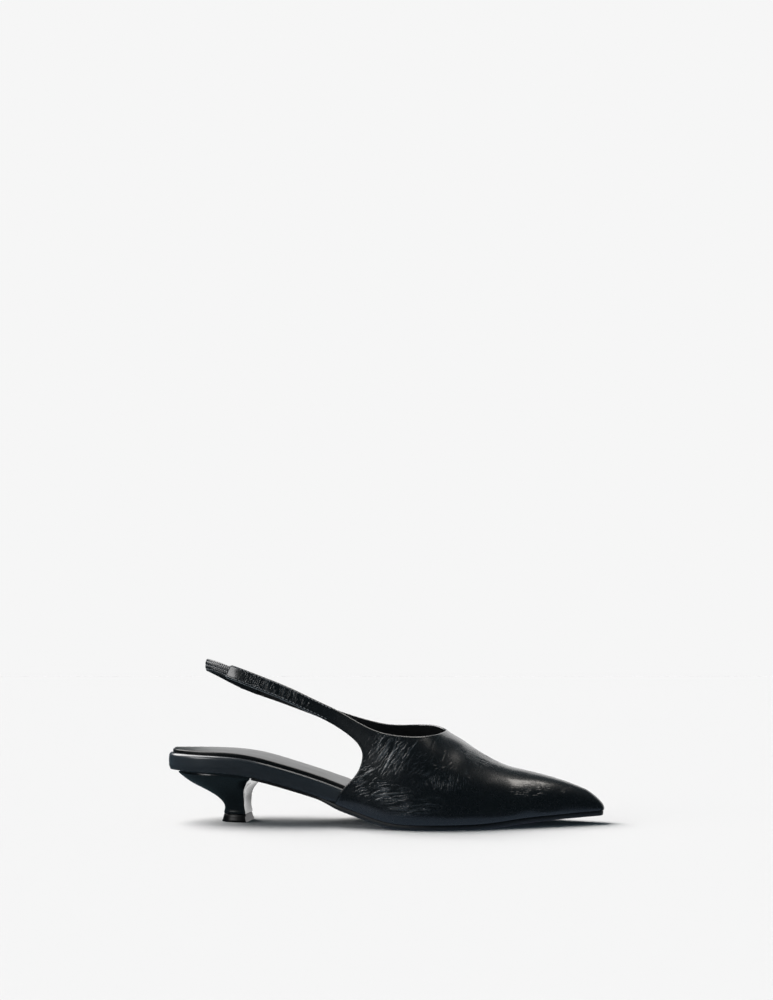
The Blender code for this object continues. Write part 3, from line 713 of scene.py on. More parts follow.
# Main creases of each side, each a soft trough with a ridge beside it: its two ends as shares of LENGTH along
# and of INSTEP over the feather line, then its bow, width and depth in millimetres
CREASE_COLUMNS = "along up along_end up_end bow wide deep"
CREASES = (
    table(
        CREASE_COLUMNS,
        (
            (0.496, 0.67, 0.530, 0.98, 0.6, 0.60, 0.26),
            (0.513, 0.59, 0.540, 0.93, 0.6, 0.62, 0.26),
            (0.502, 0.67, 0.525, 0.86, 0.1, 0.50, 0.20),
            (0.521, 0.69, 0.546, 0.88, -0.2, 0.55, 0.22),
            (0.496, 0.75, 0.512, 0.96, -0.6, 0.50, 0.18),
            (0.532, 0.70, 0.551, 0.84, 0.0, 0.50, 0.18),
            (0.569, 0.82, 0.586, 0.94, -0.1, 0.55, 0.20),
            (0.563, 0.76, 0.571, 0.85, -0.1, 0.50, 0.16),
            (0.512, 0.59, 0.546, 0.73, -0.3, 0.50, 0.17),
            (0.537, 0.64, 0.560, 0.72, -0.5, 0.50, 0.16),
            (0.562, 0.67, 0.569, 0.73, 0.1, 0.50, 0.13),
            (0.550, 0.76, 0.557, 0.83, -0.1, 0.50, 0.13),
            (0.595, 0.48, 0.626, 0.95, 0.4, 0.70, 0.13),
            (0.590, 0.46, 0.607, 0.60, 0.3, 0.50, 0.16),
            (0.615, 0.45, 0.616, 0.53, -0.3, 0.45, 0.13),
            (0.625, 0.45, 0.624, 0.53, -0.3, 0.45, 0.13),
            (0.640, 0.51, 0.651, 0.45, -0.1, 0.50, 0.15),
            (0.656, 0.45, 0.655, 0.53, -0.5, 0.45, 0.12),
            (0.685, 0.54, 0.685, 0.66, -0.3, 0.50, 0.15),
            (0.691, 0.54, 0.691, 0.62, -0.2, 0.45, 0.11),
            (0.687, 0.80, 0.724, 0.71, -1.0, 0.60, 0.20),
            (0.707, 0.80, 0.771, 0.67, -0.3, 0.60, 0.22),
            (0.713, 0.71, 0.744, 0.64, -0.1, 0.55, 0.18),
            (0.723, 0.76, 0.770, 0.61, -1.4, 0.60, 0.18),
            (0.481, 0.23, 0.526, 0.39, -1.0, 0.55, 0.20),
            (0.491, 0.26, 0.557, 0.36, -0.7, 0.55, 0.22),
            (0.512, 0.29, 0.562, 0.27, 0.4, 0.50, 0.18),
            (0.492, 0.21, 0.513, 0.28, 0.1, 0.50, 0.18),
            (0.568, 0.41, 0.537, 0.37, 0.9, 0.50, 0.10),
            (0.510, 0.16, 0.613, 0.25, -0.1, 0.60, 0.17),
            (0.528, 0.10, 0.595, 0.22, 1.0, 0.60, 0.15),
            (0.550, 0.21, 0.583, 0.20, 1.5, 0.50, 0.13),
            (0.582, 0.26, 0.649, 0.26, -3.0, 0.60, 0.11),
            (0.447, 0.33, 0.490, 0.55, -0.2, 0.60, 0.15),
            (0.450, 0.37, 0.499, 0.58, -0.7, 0.55, 0.12),
            (0.465, 0.35, 0.477, 0.40, -0.0, 0.50, 0.10),
        ),
    ),
    table(
        CREASE_COLUMNS,
        (
            (0.505, 0.66, 0.536, 0.98, 0.6, 0.60, 0.22),
            (0.520, 0.62, 0.548, 0.94, 0.5, 0.60, 0.22),
            (0.534, 0.70, 0.556, 0.90, -0.2, 0.55, 0.18),
            (0.547, 0.72, 0.566, 0.86, 0.2, 0.55, 0.16),
            (0.496, 0.24, 0.545, 0.38, -0.9, 0.55, 0.18),
            (0.505, 0.28, 0.565, 0.35, -0.6, 0.55, 0.18),
            (0.520, 0.20, 0.610, 0.24, 0.4, 0.60, 0.15),
            (0.600, 0.46, 0.628, 0.90, 0.4, 0.70, 0.13),
            (0.655, 0.48, 0.668, 0.58, 0.3, 0.50, 0.13),
            (0.690, 0.80, 0.728, 0.72, -0.9, 0.60, 0.18),
            (0.712, 0.78, 0.770, 0.66, -0.4, 0.60, 0.18),
            (0.462, 0.36, 0.496, 0.56, -0.4, 0.60, 0.14),
            (0.470, 0.32, 0.502, 0.46, -0.3, 0.55, 0.12),
        ),
    ),
)


def ridge_height(x):
    return along(SECTIONS, "ridge", x) * INSTEP


def skin(side, x, share):
    """Points of the outer face that rise from the feather line at x, at a share of the height there."""
    x = np.asarray(x, float)
    share = np.clip(share, 0, 1)
    tuck = TUCK * np.clip(ridge_height(x) / INSTEP, 0, 1.2)
    foot = outline_at(side, x, FEATHER_REACH, FEATHER_REACH)
    wide = outline_at(side, x, FEATHER_REACH + tuck, FEATHER_REACH)
    lean = TOE_FAN * np.clip((x - TOE_FAN_START) / (TIP - TOE_FAN_START), 0, 1) ** 2
    ridge_x = x - lean
    ridge = np.column_stack([ridge_x, along(SECTIONS, "across", ridge_x) * BALL_WIDTH])

    low = np.clip(share / TUCK_SHARE, 0, 1)
    angle = np.arccos(np.cos(TUCK_ANGLE) * (1 - low))
    turned = (1 - np.sin(angle)) / (1 - np.sin(TUCK_ANGLE))
    up = np.clip((share - TUCK_SHARE) / (1 - TUCK_SHARE), 0, 1)
    spread = (1 - up ** along(SECTIONS, "flank", x)) ** (1 / along(SECTIONS, "crown", x))
    plan = ridge + (wide - ridge) * spread[:, None] + (foot - wide) * turned[:, None]

    turn = np.clip((STRAP_TURN - x) / (STRAP_TURN - STRAP_BACK), 0, 1)
    plan[:, 1] *= np.sqrt(1 - turn**2)
    here = np.minimum(plan[:, 0], TIP)
    return np.column_stack([plan, feather(here) + share * ridge_height(here)])


def way_along(points):
    """How far each point of a run lies along it."""
    return np.concatenate([[0], np.cumsum(np.linalg.norm(np.diff(points, axis=0), axis=1))])


LINE_POINTS = 500  # the fine line that a column's own points are taken from


def column(side, low, high, bow, rows, trims):
    """A bowed line on the outer face between two places given by x and height over the feather line. Each
    point is followed by its x and share of the height on the last, and its ways from both edges."""
    t = np.sin(np.linspace(0, np.pi / 2, LINE_POINTS))
    start = np.array([low[0], low[1] / ridge_height(low[0])])
    end = np.array([high[0], high[1] / ridge_height(high[0])])
    bend = start + (end - start) * bow
    x, share = (np.outer((1 - t) ** 2, start) + np.outer(2 * t * (1 - t), bend) + np.outer(t * t, end)).T
    points = skin(side, x, share)
    way = way_along(points)
    at = np.linspace(trims[0], way[-1] - trims[1], rows + 1)
    known = np.column_stack([points, x, share])
    line = np.column_stack([np.interp(at, way, known[:, k]) for k in range(5)])
    return np.column_stack([line, at, way[-1] - at])


def edge_points(side, rows_at):
    """Places of the low and the high edge at the given rows of the table, which may lie between its rows."""
    edge = EDGES[side]
    knots = np.arange(len(edge["low_along"]))
    low = np.column_stack([edge["low_along"] * LENGTH, edge["low_up"] * INSTEP])
    high = np.column_stack([edge["high_along"] * LENGTH, edge["high_up"] * INSTEP])
    square = STRAP_WIDTH * np.array([STRAP_LEAN, np.sqrt(1 - STRAP_LEAN**2)])
    slope = feather(low[:, 0] + square[0]) - feather(low[:, 0])
    high[STRAP_ROW:] = low[STRAP_ROW:] + square
    high[STRAP_ROW:, 1] -= slope[STRAP_ROW:]
    front = rows_at <= CORNER_ROW
    parts = []
    for part, first, last in ((rows_at[front], 0, CORNER_ROW), (rows_at[~front], CORNER_ROW, len(knots) - 1)):
        some = slice(first, last + 1)
        parts.append(np.column_stack([spline(knots[some], low[some, k], part) for k in (0, 1)]))
    low_line = np.vstack(parts)
    low_line[: front.sum(), 1] = 0
    mirrored = np.concatenate([-knots[2:0:-1], knots])
    across_throat = np.vstack([high[2:0:-1], high])
    high_line = np.column_stack([spline(mirrored, across_throat[:, k], rows_at) for k in (0, 1)])
    return low_line, high_line


TOE_COLUMNS = 110
TOE_CROWDING = 1.25  # columns stand closer together at the toe
OUTER_ROWS = 128
STRAP_EVERY = 4  # the strap keeps every fourth row
INNER_EVERY = 16  # and the inner face every sixteenth

# Rows of EDGES at which the columns behind the throat stand, closest together at the throat itself
THROAT_PLACES = (0.02, 0.06, 0.12, 0.2, 0.32, 0.46, 0.64, 0.82)
PLACES = np.concatenate([THROAT_PLACES, np.linspace(1, 10, 132), np.linspace(10, 15, 151)[1:]])


def upper_columns(side):
    """All columns of one side, from the toe to the strap's end."""
    throat = EDGES[side]["low_along"][0] * LENGTH
    share = np.linspace(0, 1, TOE_COLUMNS + 1)
    columns = []
    for x in TIP - (TIP - throat) * share**TOE_CROWDING:
        columns.append(column(side, (x, 0.0), (x, ridge_height(x)), (0.5, 0.5), OUTER_ROWS, (0.0, 0.0)))
    low, high = edge_points(side, PLACES)
    bows = np.column_stack([spline(np.arange(len(BOWS[name])), BOWS[name], PLACES) for name in BOWS])
    for place, a, b, bow in zip(PLACES, low, high, bows):
        trims = (WALL / 2 * ease(place, 2.9, 3.3), WALL / 2 * ease(place, 0.0, 1.0))
        columns.append(column(side, a, b, bow, OUTER_ROWS, trims))
    return np.array(columns)


WAY_SHARES, WAY_PLACES = 161, 320


def ways_up(side):
    """The way up the leather from the feather line, over even places along and fixed shares of the height."""
    shares = np.sin(np.linspace(0, np.pi / 2, WAY_SHARES))
    places = np.linspace(BREAST / 2, TIP, WAY_PLACES)
    return places, shares, np.array([way_along(skin(side, np.full(WAY_SHARES, x), shares)) for x in places])


WAYS_UP = [ways_up(OUTER), ways_up(INNER)]


def way_up(side, x, share):
    """The way up the leather to a share of the height at x."""
    places, shares, ways = WAYS_UP[side]
    i = np.clip(np.interp(x, places, np.arange(len(places))), 0, len(places) - 1.001)
    j = np.clip(np.interp(share, shares, np.arange(len(shares))), 0, len(shares) - 1.001)
    i0, j0 = i.astype(int), j.astype(int)
    u, v = i - i0, j - j0
    low = ways[i0, j0] * (1 - u) + ways[i0 + 1, j0] * u
    high = ways[i0, j0 + 1] * (1 - u) + ways[i0 + 1, j0 + 1] * u
    return low * (1 - v) + high * v


def on_leather(side, along_share, up_share):
    """Along and up the leather, in metres, of a place given in shares of LENGTH and of INSTEP."""
    x = np.asarray(along_share * LENGTH)
    return np.array([x, way_up(side, x, up_share * INSTEP / ridge_height(x))])


CREST_HIGHLIGHT_WIDTH = 0.26  # half width of the painted highlight on a crease's crest, in millimetres
TROUGH = 0.6  # how deep a trough is pressed, as a share of its depth in the table
RIDGE = 0.7  # height of the ridge beside it, as a share of the trough
RIDGE_ASIDE = 1.5  # from the ridge to the trough, in widths of the crease
FULL_HIGHLIGHT_DEPTH = 0.34  # depth in millimetres of a crease whose crest takes the full painted highlight grey


def creased(side, x, up):
    """How far the main creases move the leather out, and how much painted highlight their crests take."""
    moved, painted_highlight = np.zeros_like(x), np.zeros_like(x)
    for start_x, start_up, end_x, end_up, bow, wide, deep in np.transpose(list(CREASES[side].values())):
        start = on_leather(side, start_x, start_up)
        way = on_leather(side, end_x, end_up) - start
        length = np.linalg.norm(way)
        t = np.clip(((x - start[0]) * way[0] + (up - start[1]) * way[1]) / length**2, -0.3, 1.3)
        aside = ((x - start[0]) * way[1] - (up - start[1]) * way[0]) / length
        aside = (aside - bow * MM * 4 * t * (1 - t)) / (wide * MM)
        fade = ease(t, -0.1, 0.25) * ease(1 - t, -0.1, 0.25)
        ridge_and_trough = RIDGE * np.exp(-(aside**2)) - np.exp(-((aside + RIDGE_ASIDE) ** 2))
        moved += TROUGH * deep * MM * fade * ridge_and_trough
        crest_highlight = np.exp(-((aside * wide / CREST_HIGHLIGHT_WIDTH) ** 2))
        painted_highlight = np.maximum(painted_highlight, fade * crest_highlight * deep / FULL_HIGHLIGHT_DEPTH)
    return moved, painted_highlight


SWELLS = (34, 27, 21, 17, 13, 10)  # widths of the slow swells in the leather, in millimetres
SWELL_HEIGHT = 0.05  # height of the widest, in millimetres


def slack(x, up, seed, height=SWELL_HEIGHT):
    """Slow, soft unevenness of leather that is laid by hand."""
    chance = np.random.default_rng(seed)
    moved = 0.0
    for size in SWELLS:
        angle = chance.uniform(0, np.pi)
        phase = chance.uniform(0, 2 * np.pi)
        wave = 2 * np.pi / (size * MM)
        swell = np.sin(wave * (x * np.cos(angle) + up * np.sin(angle)) + phase)
        moved = moved + swell * height * MM * size / SWELLS[0]
    return moved


PLEAT = 0.22 * MM
PLEAT_PITCHES = (1.85, 2.4, 1.5, 3.3)  # millimetres from pleat to pleat, of the four waves that are added
PLEAT_LEAN = 1.6  # millimetres that a pleat leans over the strap's width
PLEAT_BEND = 1.8  # radians that its line wanders
STRAP_ROW_WAY = 11.4  # millimetres of strap from row to row of EDGES, about


def gathered(side, place, across):
    """Small uneven pleats across the strap, held down along both seams. across is 0 to 1 over its width."""
    chance = np.random.default_rng(11 + side)
    way = (place - STRAP_ROW) * STRAP_ROW_WAY
    drawn = ease(place, 10.5, 11.3) * (1 - ease(place, 12.7, 13.2))
    phase = chance.uniform(0, 2 * np.pi, len(PLEAT_PITCHES))
    lean = PLEAT_LEAN * (across - 0.5)
    wave = 0.0
    for k, pitch in enumerate(PLEAT_PITCHES):
        bend = PLEAT_BEND * np.sin(across * (2 + k))
        wave = wave + np.sin(2 * np.pi * (way + lean) / pitch + phase[k] + bend) / 2.0
    held = ease(across, 0.10, 0.26) * ease(1 - across, 0.14, 0.45)
    return PLEAT * drawn * held * np.tanh(1.5 * wave)


FOLD = 0.10 * MM
FOLD_WIDE = 1.3 * MM
FOLD_SLOPE = 0.5 * MM


def folded(way):
    """The leather stands a little higher where its edge is folded under. way is how far that edge is."""
    return FOLD * (1 - ease(way, FOLD_WIDE, FOLD_WIDE + FOLD_SLOPE))


# Bundles of fine creases, pressed into the leather by wear. Centres in shares of LENGTH and of INSTEP, half
# sizes in millimetres, slope in degrees, and spacing, length and depth of single creases in millimetres.
BUNDLE_COLUMNS = "along up reach_along reach_up slope spacing length deep"
BUNDLES = (
    table(
        BUNDLE_COLUMNS,
        (
            (0.530, 0.78, 19, 20, 58, 1.5, 6.5, 0.20),
            (0.527, 0.32, 20, 11, 10, 1.4, 6.5, 0.20),
            (0.572, 0.20, 22, 9, 4, 1.5, 7.0, 0.18),
            (0.626, 0.78, 9, 14, 72, 2.2, 9.0, 0.10),
            (0.643, 0.49, 21, 9, 84, 1.3, 3.0, 0.20),
            (0.600, 0.62, 24, 20, 40, 2.0, 5.0, 0.09),
            (0.724, 0.72, 20, 17, -30, 1.6, 6.0, 0.16),
            (0.466, 0.40, 12, 17, 38, 1.4, 6.0, 0.15),
            (0.835, 0.31, 17, 8, -12, 1.3, 4.0, 0.15),
            (0.914, 0.26, 4, 2, 0, 1.2, 2.0, 0.16),
            (0.254, 1.08, 24, 16, 70, 1.15, 7.0, 0.30),
        ),
    ),
    table(
        BUNDLE_COLUMNS,
        (
            (0.538, 0.78, 19, 20, 58, 1.5, 6.5, 0.18),
            (0.535, 0.30, 21, 11, 8, 1.4, 6.5, 0.18),
            (0.590, 0.55, 24, 20, 40, 2.0, 5.0, 0.09),
            (0.650, 0.48, 20, 10, 84, 1.3, 3.0, 0.16),
            (0.728, 0.70, 20, 16, -35, 1.7, 6.0, 0.13),
            (0.845, 0.30, 16, 8, -12, 1.3, 4.0, 0.10),
            (0.254, 0.96, 24, 16, 70, 1.15, 7.0, 0.30),
        ),
    ),
)


BUNDLE_SHIFT = 0.37  # spacings between the lines of one bundle and the next, so that they don't run on
BUNDLE_EDGE = 0.4  # bundles fade where their depths differ by less than this share


def worn(side, x, up):
    """For each point of the leather, how deep the fine creases are there in millimetres, which bundle they
    belong to, and where it lies in each bundle, in lengths along and spacings across the creases."""
    depths, places = [], []
    for row in np.transpose(list(BUNDLES[side].values())):
        middle_x, middle_up, reach_x, reach_up, slope, spacing, length, deep = row
        middle = on_leather(side, middle_x, middle_up) / MM
        aside_x, aside_up = x / MM - middle[0], up / MM - middle[1]
        far = np.hypot(aside_x / reach_x, aside_up / reach_up)
        depths.append(deep * ease(1 - far, 0, 1))
        cos, sin = np.cos(np.radians(slope)), np.sin(np.radians(slope))
        down_line, over_lines = aside_x * cos + aside_up * sin, aside_up * cos - aside_x * sin
        shift = BUNDLE_SHIFT * len(places)
        places.append(np.stack([down_line / length, over_lines / spacing + shift], axis=-1))
    depths = np.array(depths)
    second, deepest = np.sort(depths, axis=0)[-2:]
    apart = ease((deepest - second) / np.maximum(deepest, 0.01), 0.0, BUNDLE_EDGE)
    return deepest * apart, depths.argmax(axis=0), np.array(places)


def unit(vectors):
    return vectors / np.maximum(np.linalg.norm(vectors, axis=-1, keepdims=True), 1e-12)


def grid_normals(points, flip):
    across = np.gradient(points, axis=0)
    up = np.gradient(points, axis=1)
    return unit(np.cross(up, across) if flip else np.cross(across, up))


TURN_STEPS = 6  # faces round a folded edge
EDGE_HIGHLIGHT = 2.5  # strength of the painted highlight along the straps' lower folded edges
SLACK_SEED = 3
SHARP_FOLD = 70  # degrees, so that no crease is drawn sharp


def edge_turn(edge, normal, inside, bulge):
    """Points round a folded edge, from the outer to the inner face, without its two ends."""
    tangent = unit(np.gradient(edge, axis=0))
    out = unit(np.cross(normal, tangent))
    out *= np.sign(np.sum(out * (edge - inside), axis=1))[:, None] * bulge[:, None]
    middle = edge - normal * WALL / 2
    angles = np.linspace(0, np.pi, TURN_STEPS + 1)[1:-1]
    return [middle + WALL / 2 * (np.cos(a) * normal + np.sin(a) * out) for a in angles]


def make_upper(surfaces):
    """The upper, and for each side the points of its outer face, a row for each column, and their normals."""
    mesh = bmesh.new()
    leather_map = mesh.loops.layers.uv.new("leather")
    crease_map = mesh.loops.layers.uv.new("fine creases")
    wear_layer = mesh.verts.layers.float.new("wear")
    # How much painted highlight each point of the leather takes
    painted_highlight_layer = mesh.verts.layers.float.new("painted_highlight")
    columns = [upper_columns(side) for side in (OUTER, INNER)]
    base = [c[:, :, :3].copy() for c in columns]
    normals = [grid_normals(base[OUTER], True), grid_normals(base[INNER], False)]
    toe = TOE_COLUMNS
    ridge_normal = unit(normals[OUTER][: toe + 1, -1] + normals[INNER][: toe + 1, -1])
    tip_normal = unit(normals[OUTER][0] + normals[INNER][0])
    place = np.concatenate([np.zeros(toe + 1), PLACES])
    outer, inner, maps, wear, painted_highlight, low_turns = [], [], [], [], [], []
    for side in (OUTER, INNER):
        normals[side][: toe + 1, -1] = ridge_normal
        normals[side][0] = tip_normal
        base[side][0, :, 1] = 0.0
        x, share, from_low, from_high = np.moveaxis(columns[side][:, :, 3:], 2, 0)
        up = way_up(side, x, share)
        rows = np.linspace(0, 1, OUTER_ROWS + 1)[None, :]
        behind = place[:, None]
        # Creases and slack die out towards the edges, the tip of the toe and the straps
        calm = ease(from_low, 1 * MM, 5 * MM) * ease(from_high, 1 * MM, 5 * MM)
        calm = calm * ease(TIP - x, 3 * MM, 25 * MM)
        calm = calm * (1 - ease(behind, 9.0, 10.5))
        # The main creases' crests take a painted highlight
        pressed, crest_highlights = creased(side, x, up)
        moved = (pressed + slack(x, up, SLACK_SEED + side)) * calm
        painted_highlight.append(crest_highlights * calm)
        moved += gathered(side, behind, rows)
        # The topline is folded from the throat on, the lower edge from the vamp's corner on
        moved += folded(from_high) * ease(behind, 0.0, 0.6) + folded(from_low) * ease(behind, 3.1, 3.6)
        outer.append(base[side] + normals[side] * moved[:, :, None])
        inner.append((base[side] - normals[side] * WALL)[:, ::INNER_EVERY])
        maps.append(np.stack([x, up if side == OUTER else -up], axis=2) / MM)
        wear.append(worn(side, x, up))
        bulge = ease(place, 2.9, 3.3)
        low_turns.append(edge_turn(base[side][:, 0], normals[side][:, 0], base[side][:, 1], bulge))

    def both_sides(lines):
        """Joins both sides' lines along the topline, from strap end to strap end."""
        return np.vstack([lines[OUTER][: toe - 1 : -1], lines[INNER][toe + 1 :]])

    throat = len(PLACES)
    top_inside = both_sides([b[:, -2] for b in base])
    top_inside[throat] = base[OUTER][toe - 1, -1]
    top_edge = both_sides([b[:, -1] for b in base])
    top_normal = both_sides([n[:, -1] for n in normals])
    top_turn = edge_turn(top_edge, top_normal, top_inside, np.ones(len(top_edge)))

    grids = []
    strap = toe + 1 + int(np.searchsorted(PLACES, STRAP_ROW + 0.01))
    for side in (OUTER, INNER):
        grid = []
        for c in range(len(base[side])):
            if side == INNER and c == 0:
                grid.append(grids[OUTER][0])
                continue
            joined = side == INNER and c <= toe
            lines = {}
            every = STRAP_EVERY if c >= strap else 1
            for name, points in (("outer", outer[side][c][::every]), ("inner", inner[side][c])):
                verts = [mesh.verts.new(point + SHIFT) for point in points[: -1 if joined else None]]
                if name == "outer":
                    for vert, deep, highlight_share in zip(verts, wear[side][0][c][::every], painted_highlight[side][c][::every]):
                        vert[wear_layer], vert[painted_highlight_layer] = deep, highlight_share
                if joined:
                    verts.append(grids[OUTER][c][name][-1])
                lines[name] = verts
            low = [mesh.verts.new(points[c] + SHIFT) for points in low_turns[side]]
            # A painted highlight runs along the straps' lower folded edge
            low[1][painted_highlight_layer] = EDGE_HIGHLIGHT * ease(place[c], 9.5, 10.5)
            lines["low"] = [lines["outer"][0], *low, lines["inner"][0]]
            if c >= toe and joined:
                lines["top"] = grids[OUTER][c]["top"]
            elif c >= toe:
                at = throat - (c - toe) if side == OUTER else throat + (c - toe)
                top = [mesh.verts.new(points[at] + SHIFT) for points in top_turn]
                lines["top"] = [lines["outer"][-1], *top, lines["inner"][-1]]
            grid.append(lines)
        grids.append(grid)

    def add_face(side, corners, lining=False):
        """A face from corners given as a vertex with its column and row."""
        kept = [corner for i, corner in enumerate(corners) if corner[0] is not corners[i - 1][0]]
        if len(kept) < 3:
            return
        made = mesh.faces.new([v for v, c, r in kept])
        made.material_index = int(lining)
        bundle = wear[side][1][kept[0][1], kept[0][2]]
        for loop, (v, c, r) in zip(made.loops, kept):
            loop[leather_map].uv = maps[side][c, r]
            loop[crease_map].uv = wear[side][2][bundle, c, r]

    for side, grid in enumerate(grids):
        for c, (before, after) in enumerate(zip(grid, grid[1:])):
            for name in ("outer", "inner"):
                first, second = before[name], after[name]
                every, next_every = OUTER_ROWS // (len(first) - 1), OUTER_ROWS // (len(second) - 1)
                more = next_every // every
                for r in range(len(second) - 1):
                    corners = [(first[k], c, k * every) for k in range(r * more, (r + 1) * more + 1)]
                    corners += [(second[k], c + 1, k * next_every) for k in (r + 1, r)]
                    add_face(side, corners, name == "inner")
            for name, row in (("low", 0), ("top", OUTER_ROWS)):
                if name in before and name in after:
                    for k in range(TURN_STEPS):
                        corners = [(before[name][i], c, row) for i in (k, k + 1)]
                        add_face(side, corners + [(after[name][i], c + 1, row) for i in (k + 1, k)])
        end = grid[-1]
        ring = [*end["outer"], *end["top"][1:-1], *end["inner"][::-1], *end["low"][-2:0:-1]]
        add_face(side, [(v, len(grid) - 1, 0) for v in ring])
    bmesh.ops.recalc_face_normals(mesh, faces=mesh.faces)
    made = mesh_object("leather_upper", mesh, surfaces)
    made.data.set_sharp_from_angle(angle=np.radians(SHARP_FOLD))
    return made, outer, normals


# Waxed calf, polished: deep black under a clear gloss. Wear presses fine creases into it, and their crests are
# painted grey as a highlight, so that they show as thin light lines.
calf, calf_tree, calf_height, calf_bump = black_leather(
    "waxed black calf of the upper", "#07090c", "#0d1115", 0.27, 0.45, 0.11, 0.8 * MM, 0.03
)
# Painted highlight grey, for the creases' crests and the straps' lower edges
CREST_HIGHLIGHT_GREY = "#4a5156"
FINE_HIGHLIGHT_DEPTH = 0.22  # depth in millimetres of a fine crease whose crest takes the full painted highlight grey

# The fine creases are waves across their own map. They waver with slow noise in millimetres of the leather,
# and break off and start again with a second noise.
leather_at = node(calf_tree, "ShaderNodeUVMap", uv_map="leather").outputs["UV"]
lines_at = node(calf_tree, "ShaderNodeUVMap", uv_map="fine creases").outputs["UV"]
slow = {"Vector": leather_at, "Scale": 0.22, "Detail": 2.0}
drift = {0: node(calf_tree, "ShaderNodeTexNoise", slow).outputs["Color"], 1: (0.6, 2.0, 0.0)}
drifted = node(calf_tree, "ShaderNodeVectorMath", drift, operation="MULTIPLY").outputs[0]
wavering = node(calf_tree, "ShaderNodeVectorMath", {0: lines_at, 1: drifted}, operation="ADD").outputs[0]
broken = {"Vector": wavering, "Scale": 0.8, "Detail": 1.0}
gaps = node(calf_tree, "ShaderNodeTexNoise", broken, noise_dimensions="2D").outputs["Fac"]
kept = node(calf_tree, "ShaderNodeMapRange", {"Value": gaps, "From Min": 0.42, "From Max": 0.56}).outputs[0]
across = node(calf_tree, "ShaderNodeSeparateXYZ", {"Vector": wavering}).outputs["Y"]
turns = node(calf_tree, "ShaderNodeMath", {0: across, 1: 2 * np.pi}, operation="MULTIPLY").outputs[0]
wave = node(calf_tree, "ShaderNodeMath", {0: turns}, operation="SINE").outputs[0]

# Their valleys lower the leather by the depth of the wear
wear = node(calf_tree, "ShaderNodeAttribute", attribute_name="wear").outputs["Fac"]
held = node(calf_tree, "ShaderNodeMath", {0: wear, 1: kept}, operation="MULTIPLY").outputs[0]
dip = {"Value": wave, "From Min": 0.1, "To Max": -1.0}
valley = node(calf_tree, "ShaderNodeMapRange", dip, interpolation_type="SMOOTHSTEP").outputs[0]
deeper = node(calf_tree, "ShaderNodeMath", {0: valley, 1: held}, operation="MULTIPLY").outputs[0]
lowered = {0: deeper, 1: calf_height.outputs[0]}
feed(calf_tree, calf_bump, {"Height": node(calf_tree, "ShaderNodeMath", lowered, operation="ADD").outputs[0]})

# Their crests, and those of the main creases, take a painted highlight in grey
top = {"Value": wave, "From Min": -0.5, "From Max": -1.0, "To Max": 1 / FINE_HIGHLIGHT_DEPTH}
crest_highlight = node(calf_tree, "ShaderNodeMapRange", top).outputs[0]
fine_crest_highlight = node(calf_tree, "ShaderNodeMath", {0: crest_highlight, 1: held}, operation="MULTIPLY").outputs[0]
main_crest_highlight = node(calf_tree, "ShaderNodeAttribute", attribute_name="painted_highlight").outputs["Fac"]
highlight_share = node(calf_tree, "ShaderNodeMath", {0: fine_crest_highlight, 1: main_crest_highlight}, operation="ADD").outputs[0]
calf_shader = calf_tree.nodes["Principled BSDF"]
black = calf_shader.inputs["Base Color"].links[0].from_socket
highlight_mix = {"Factor": highlight_share, "A": black, "B": linear(CREST_HIGHLIGHT_GREY)}
highlighted_calf_tone = node(calf_tree, "ShaderNodeMix", highlight_mix, data_type="RGBA", clamp_factor=False).outputs["Result"]
feed(calf_tree, calf_shader, {"Base Color": highlighted_calf_tone})


def toothed_black(name, dark, light, tooth, relief, roughness):
    """A dull black surface with a fine tooth, whose tone and height follow the same noise."""
    made, tree, shader = bare_material(name)
    at = node(tree, "ShaderNodeTexCoord").outputs["Object"]
    nap = node(tree, "ShaderNodeTexNoise", {"Vector": at, "Scale": 1 / tooth, "Detail": 4.0}).outputs["Fac"]
    tones = {"Factor": nap, "A": linear(dark), "B": linear(light)}
    tone = node(tree, "ShaderNodeMix", tones, data_type="RGBA").outputs["Result"]
    bump = node(tree, "ShaderNodeBump", {"Height": nap, "Distance": relief}).outputs["Normal"]
    feed(tree, shader, {"Base Color": tone, "Normal": bump, "Roughness": roughness})
    return made, tree, shader


# Thin lining leather, left unwaxed with a short nap: matt, so that the inside shows no gloss at all
lining = toothed_black("matt black lining", "#131517", "#1e2023", 0.6 * MM, 0.08 * MM, 0.6)[0]

upper, upper_outer, upper_normals = make_upper([calf, lining])
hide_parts("upper")
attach(upper, "root")


# Strap seams
# Black waxed polyester thread, sewn in short lockstitches a little inside both folded edges of each strap.
# The stitches lie in the leather, and each shows as a small bright grain of painted highlight.

SEAM_INSET = 1.0 * MM
SEAM_START = 9.6  # row of EDGES where the seams begin
STITCH = 1.7 * MM
STITCH_PITCH = 2.3 * MM
THREAD = 0.48 * MM
STITCH_PROUD = 0.45  # how far a stitch's middle stands off the leather, as a share of its thread

# Polyester thread, twisted from plies and waxed: each stitch is painted light grey as a highlight, so it shows
# as one small bright grain
thread, thread_tree, thread_shader = bare_material("waxed black thread")
thread_at = node(thread_tree, "ShaderNodeTexCoord").outputs["Object"]
plies = {"Vector": thread_at, "Scale": 1 / (0.9 * MM), "Distortion": 2.0}
twist = node(thread_tree, "ShaderNodeTexWave", plies).outputs["Fac"]
thread_highlight_tones = {"Factor": twist, "A": linear("#4c5258"), "B": linear("#8b9197")}
painted_thread_highlight = node(thread_tree, "ShaderNodeMix", thread_highlight_tones, data_type="RGBA").outputs["Result"]
feed(thread_tree, thread_shader, {"Base Color": painted_thread_highlight, "Roughness": 0.4})


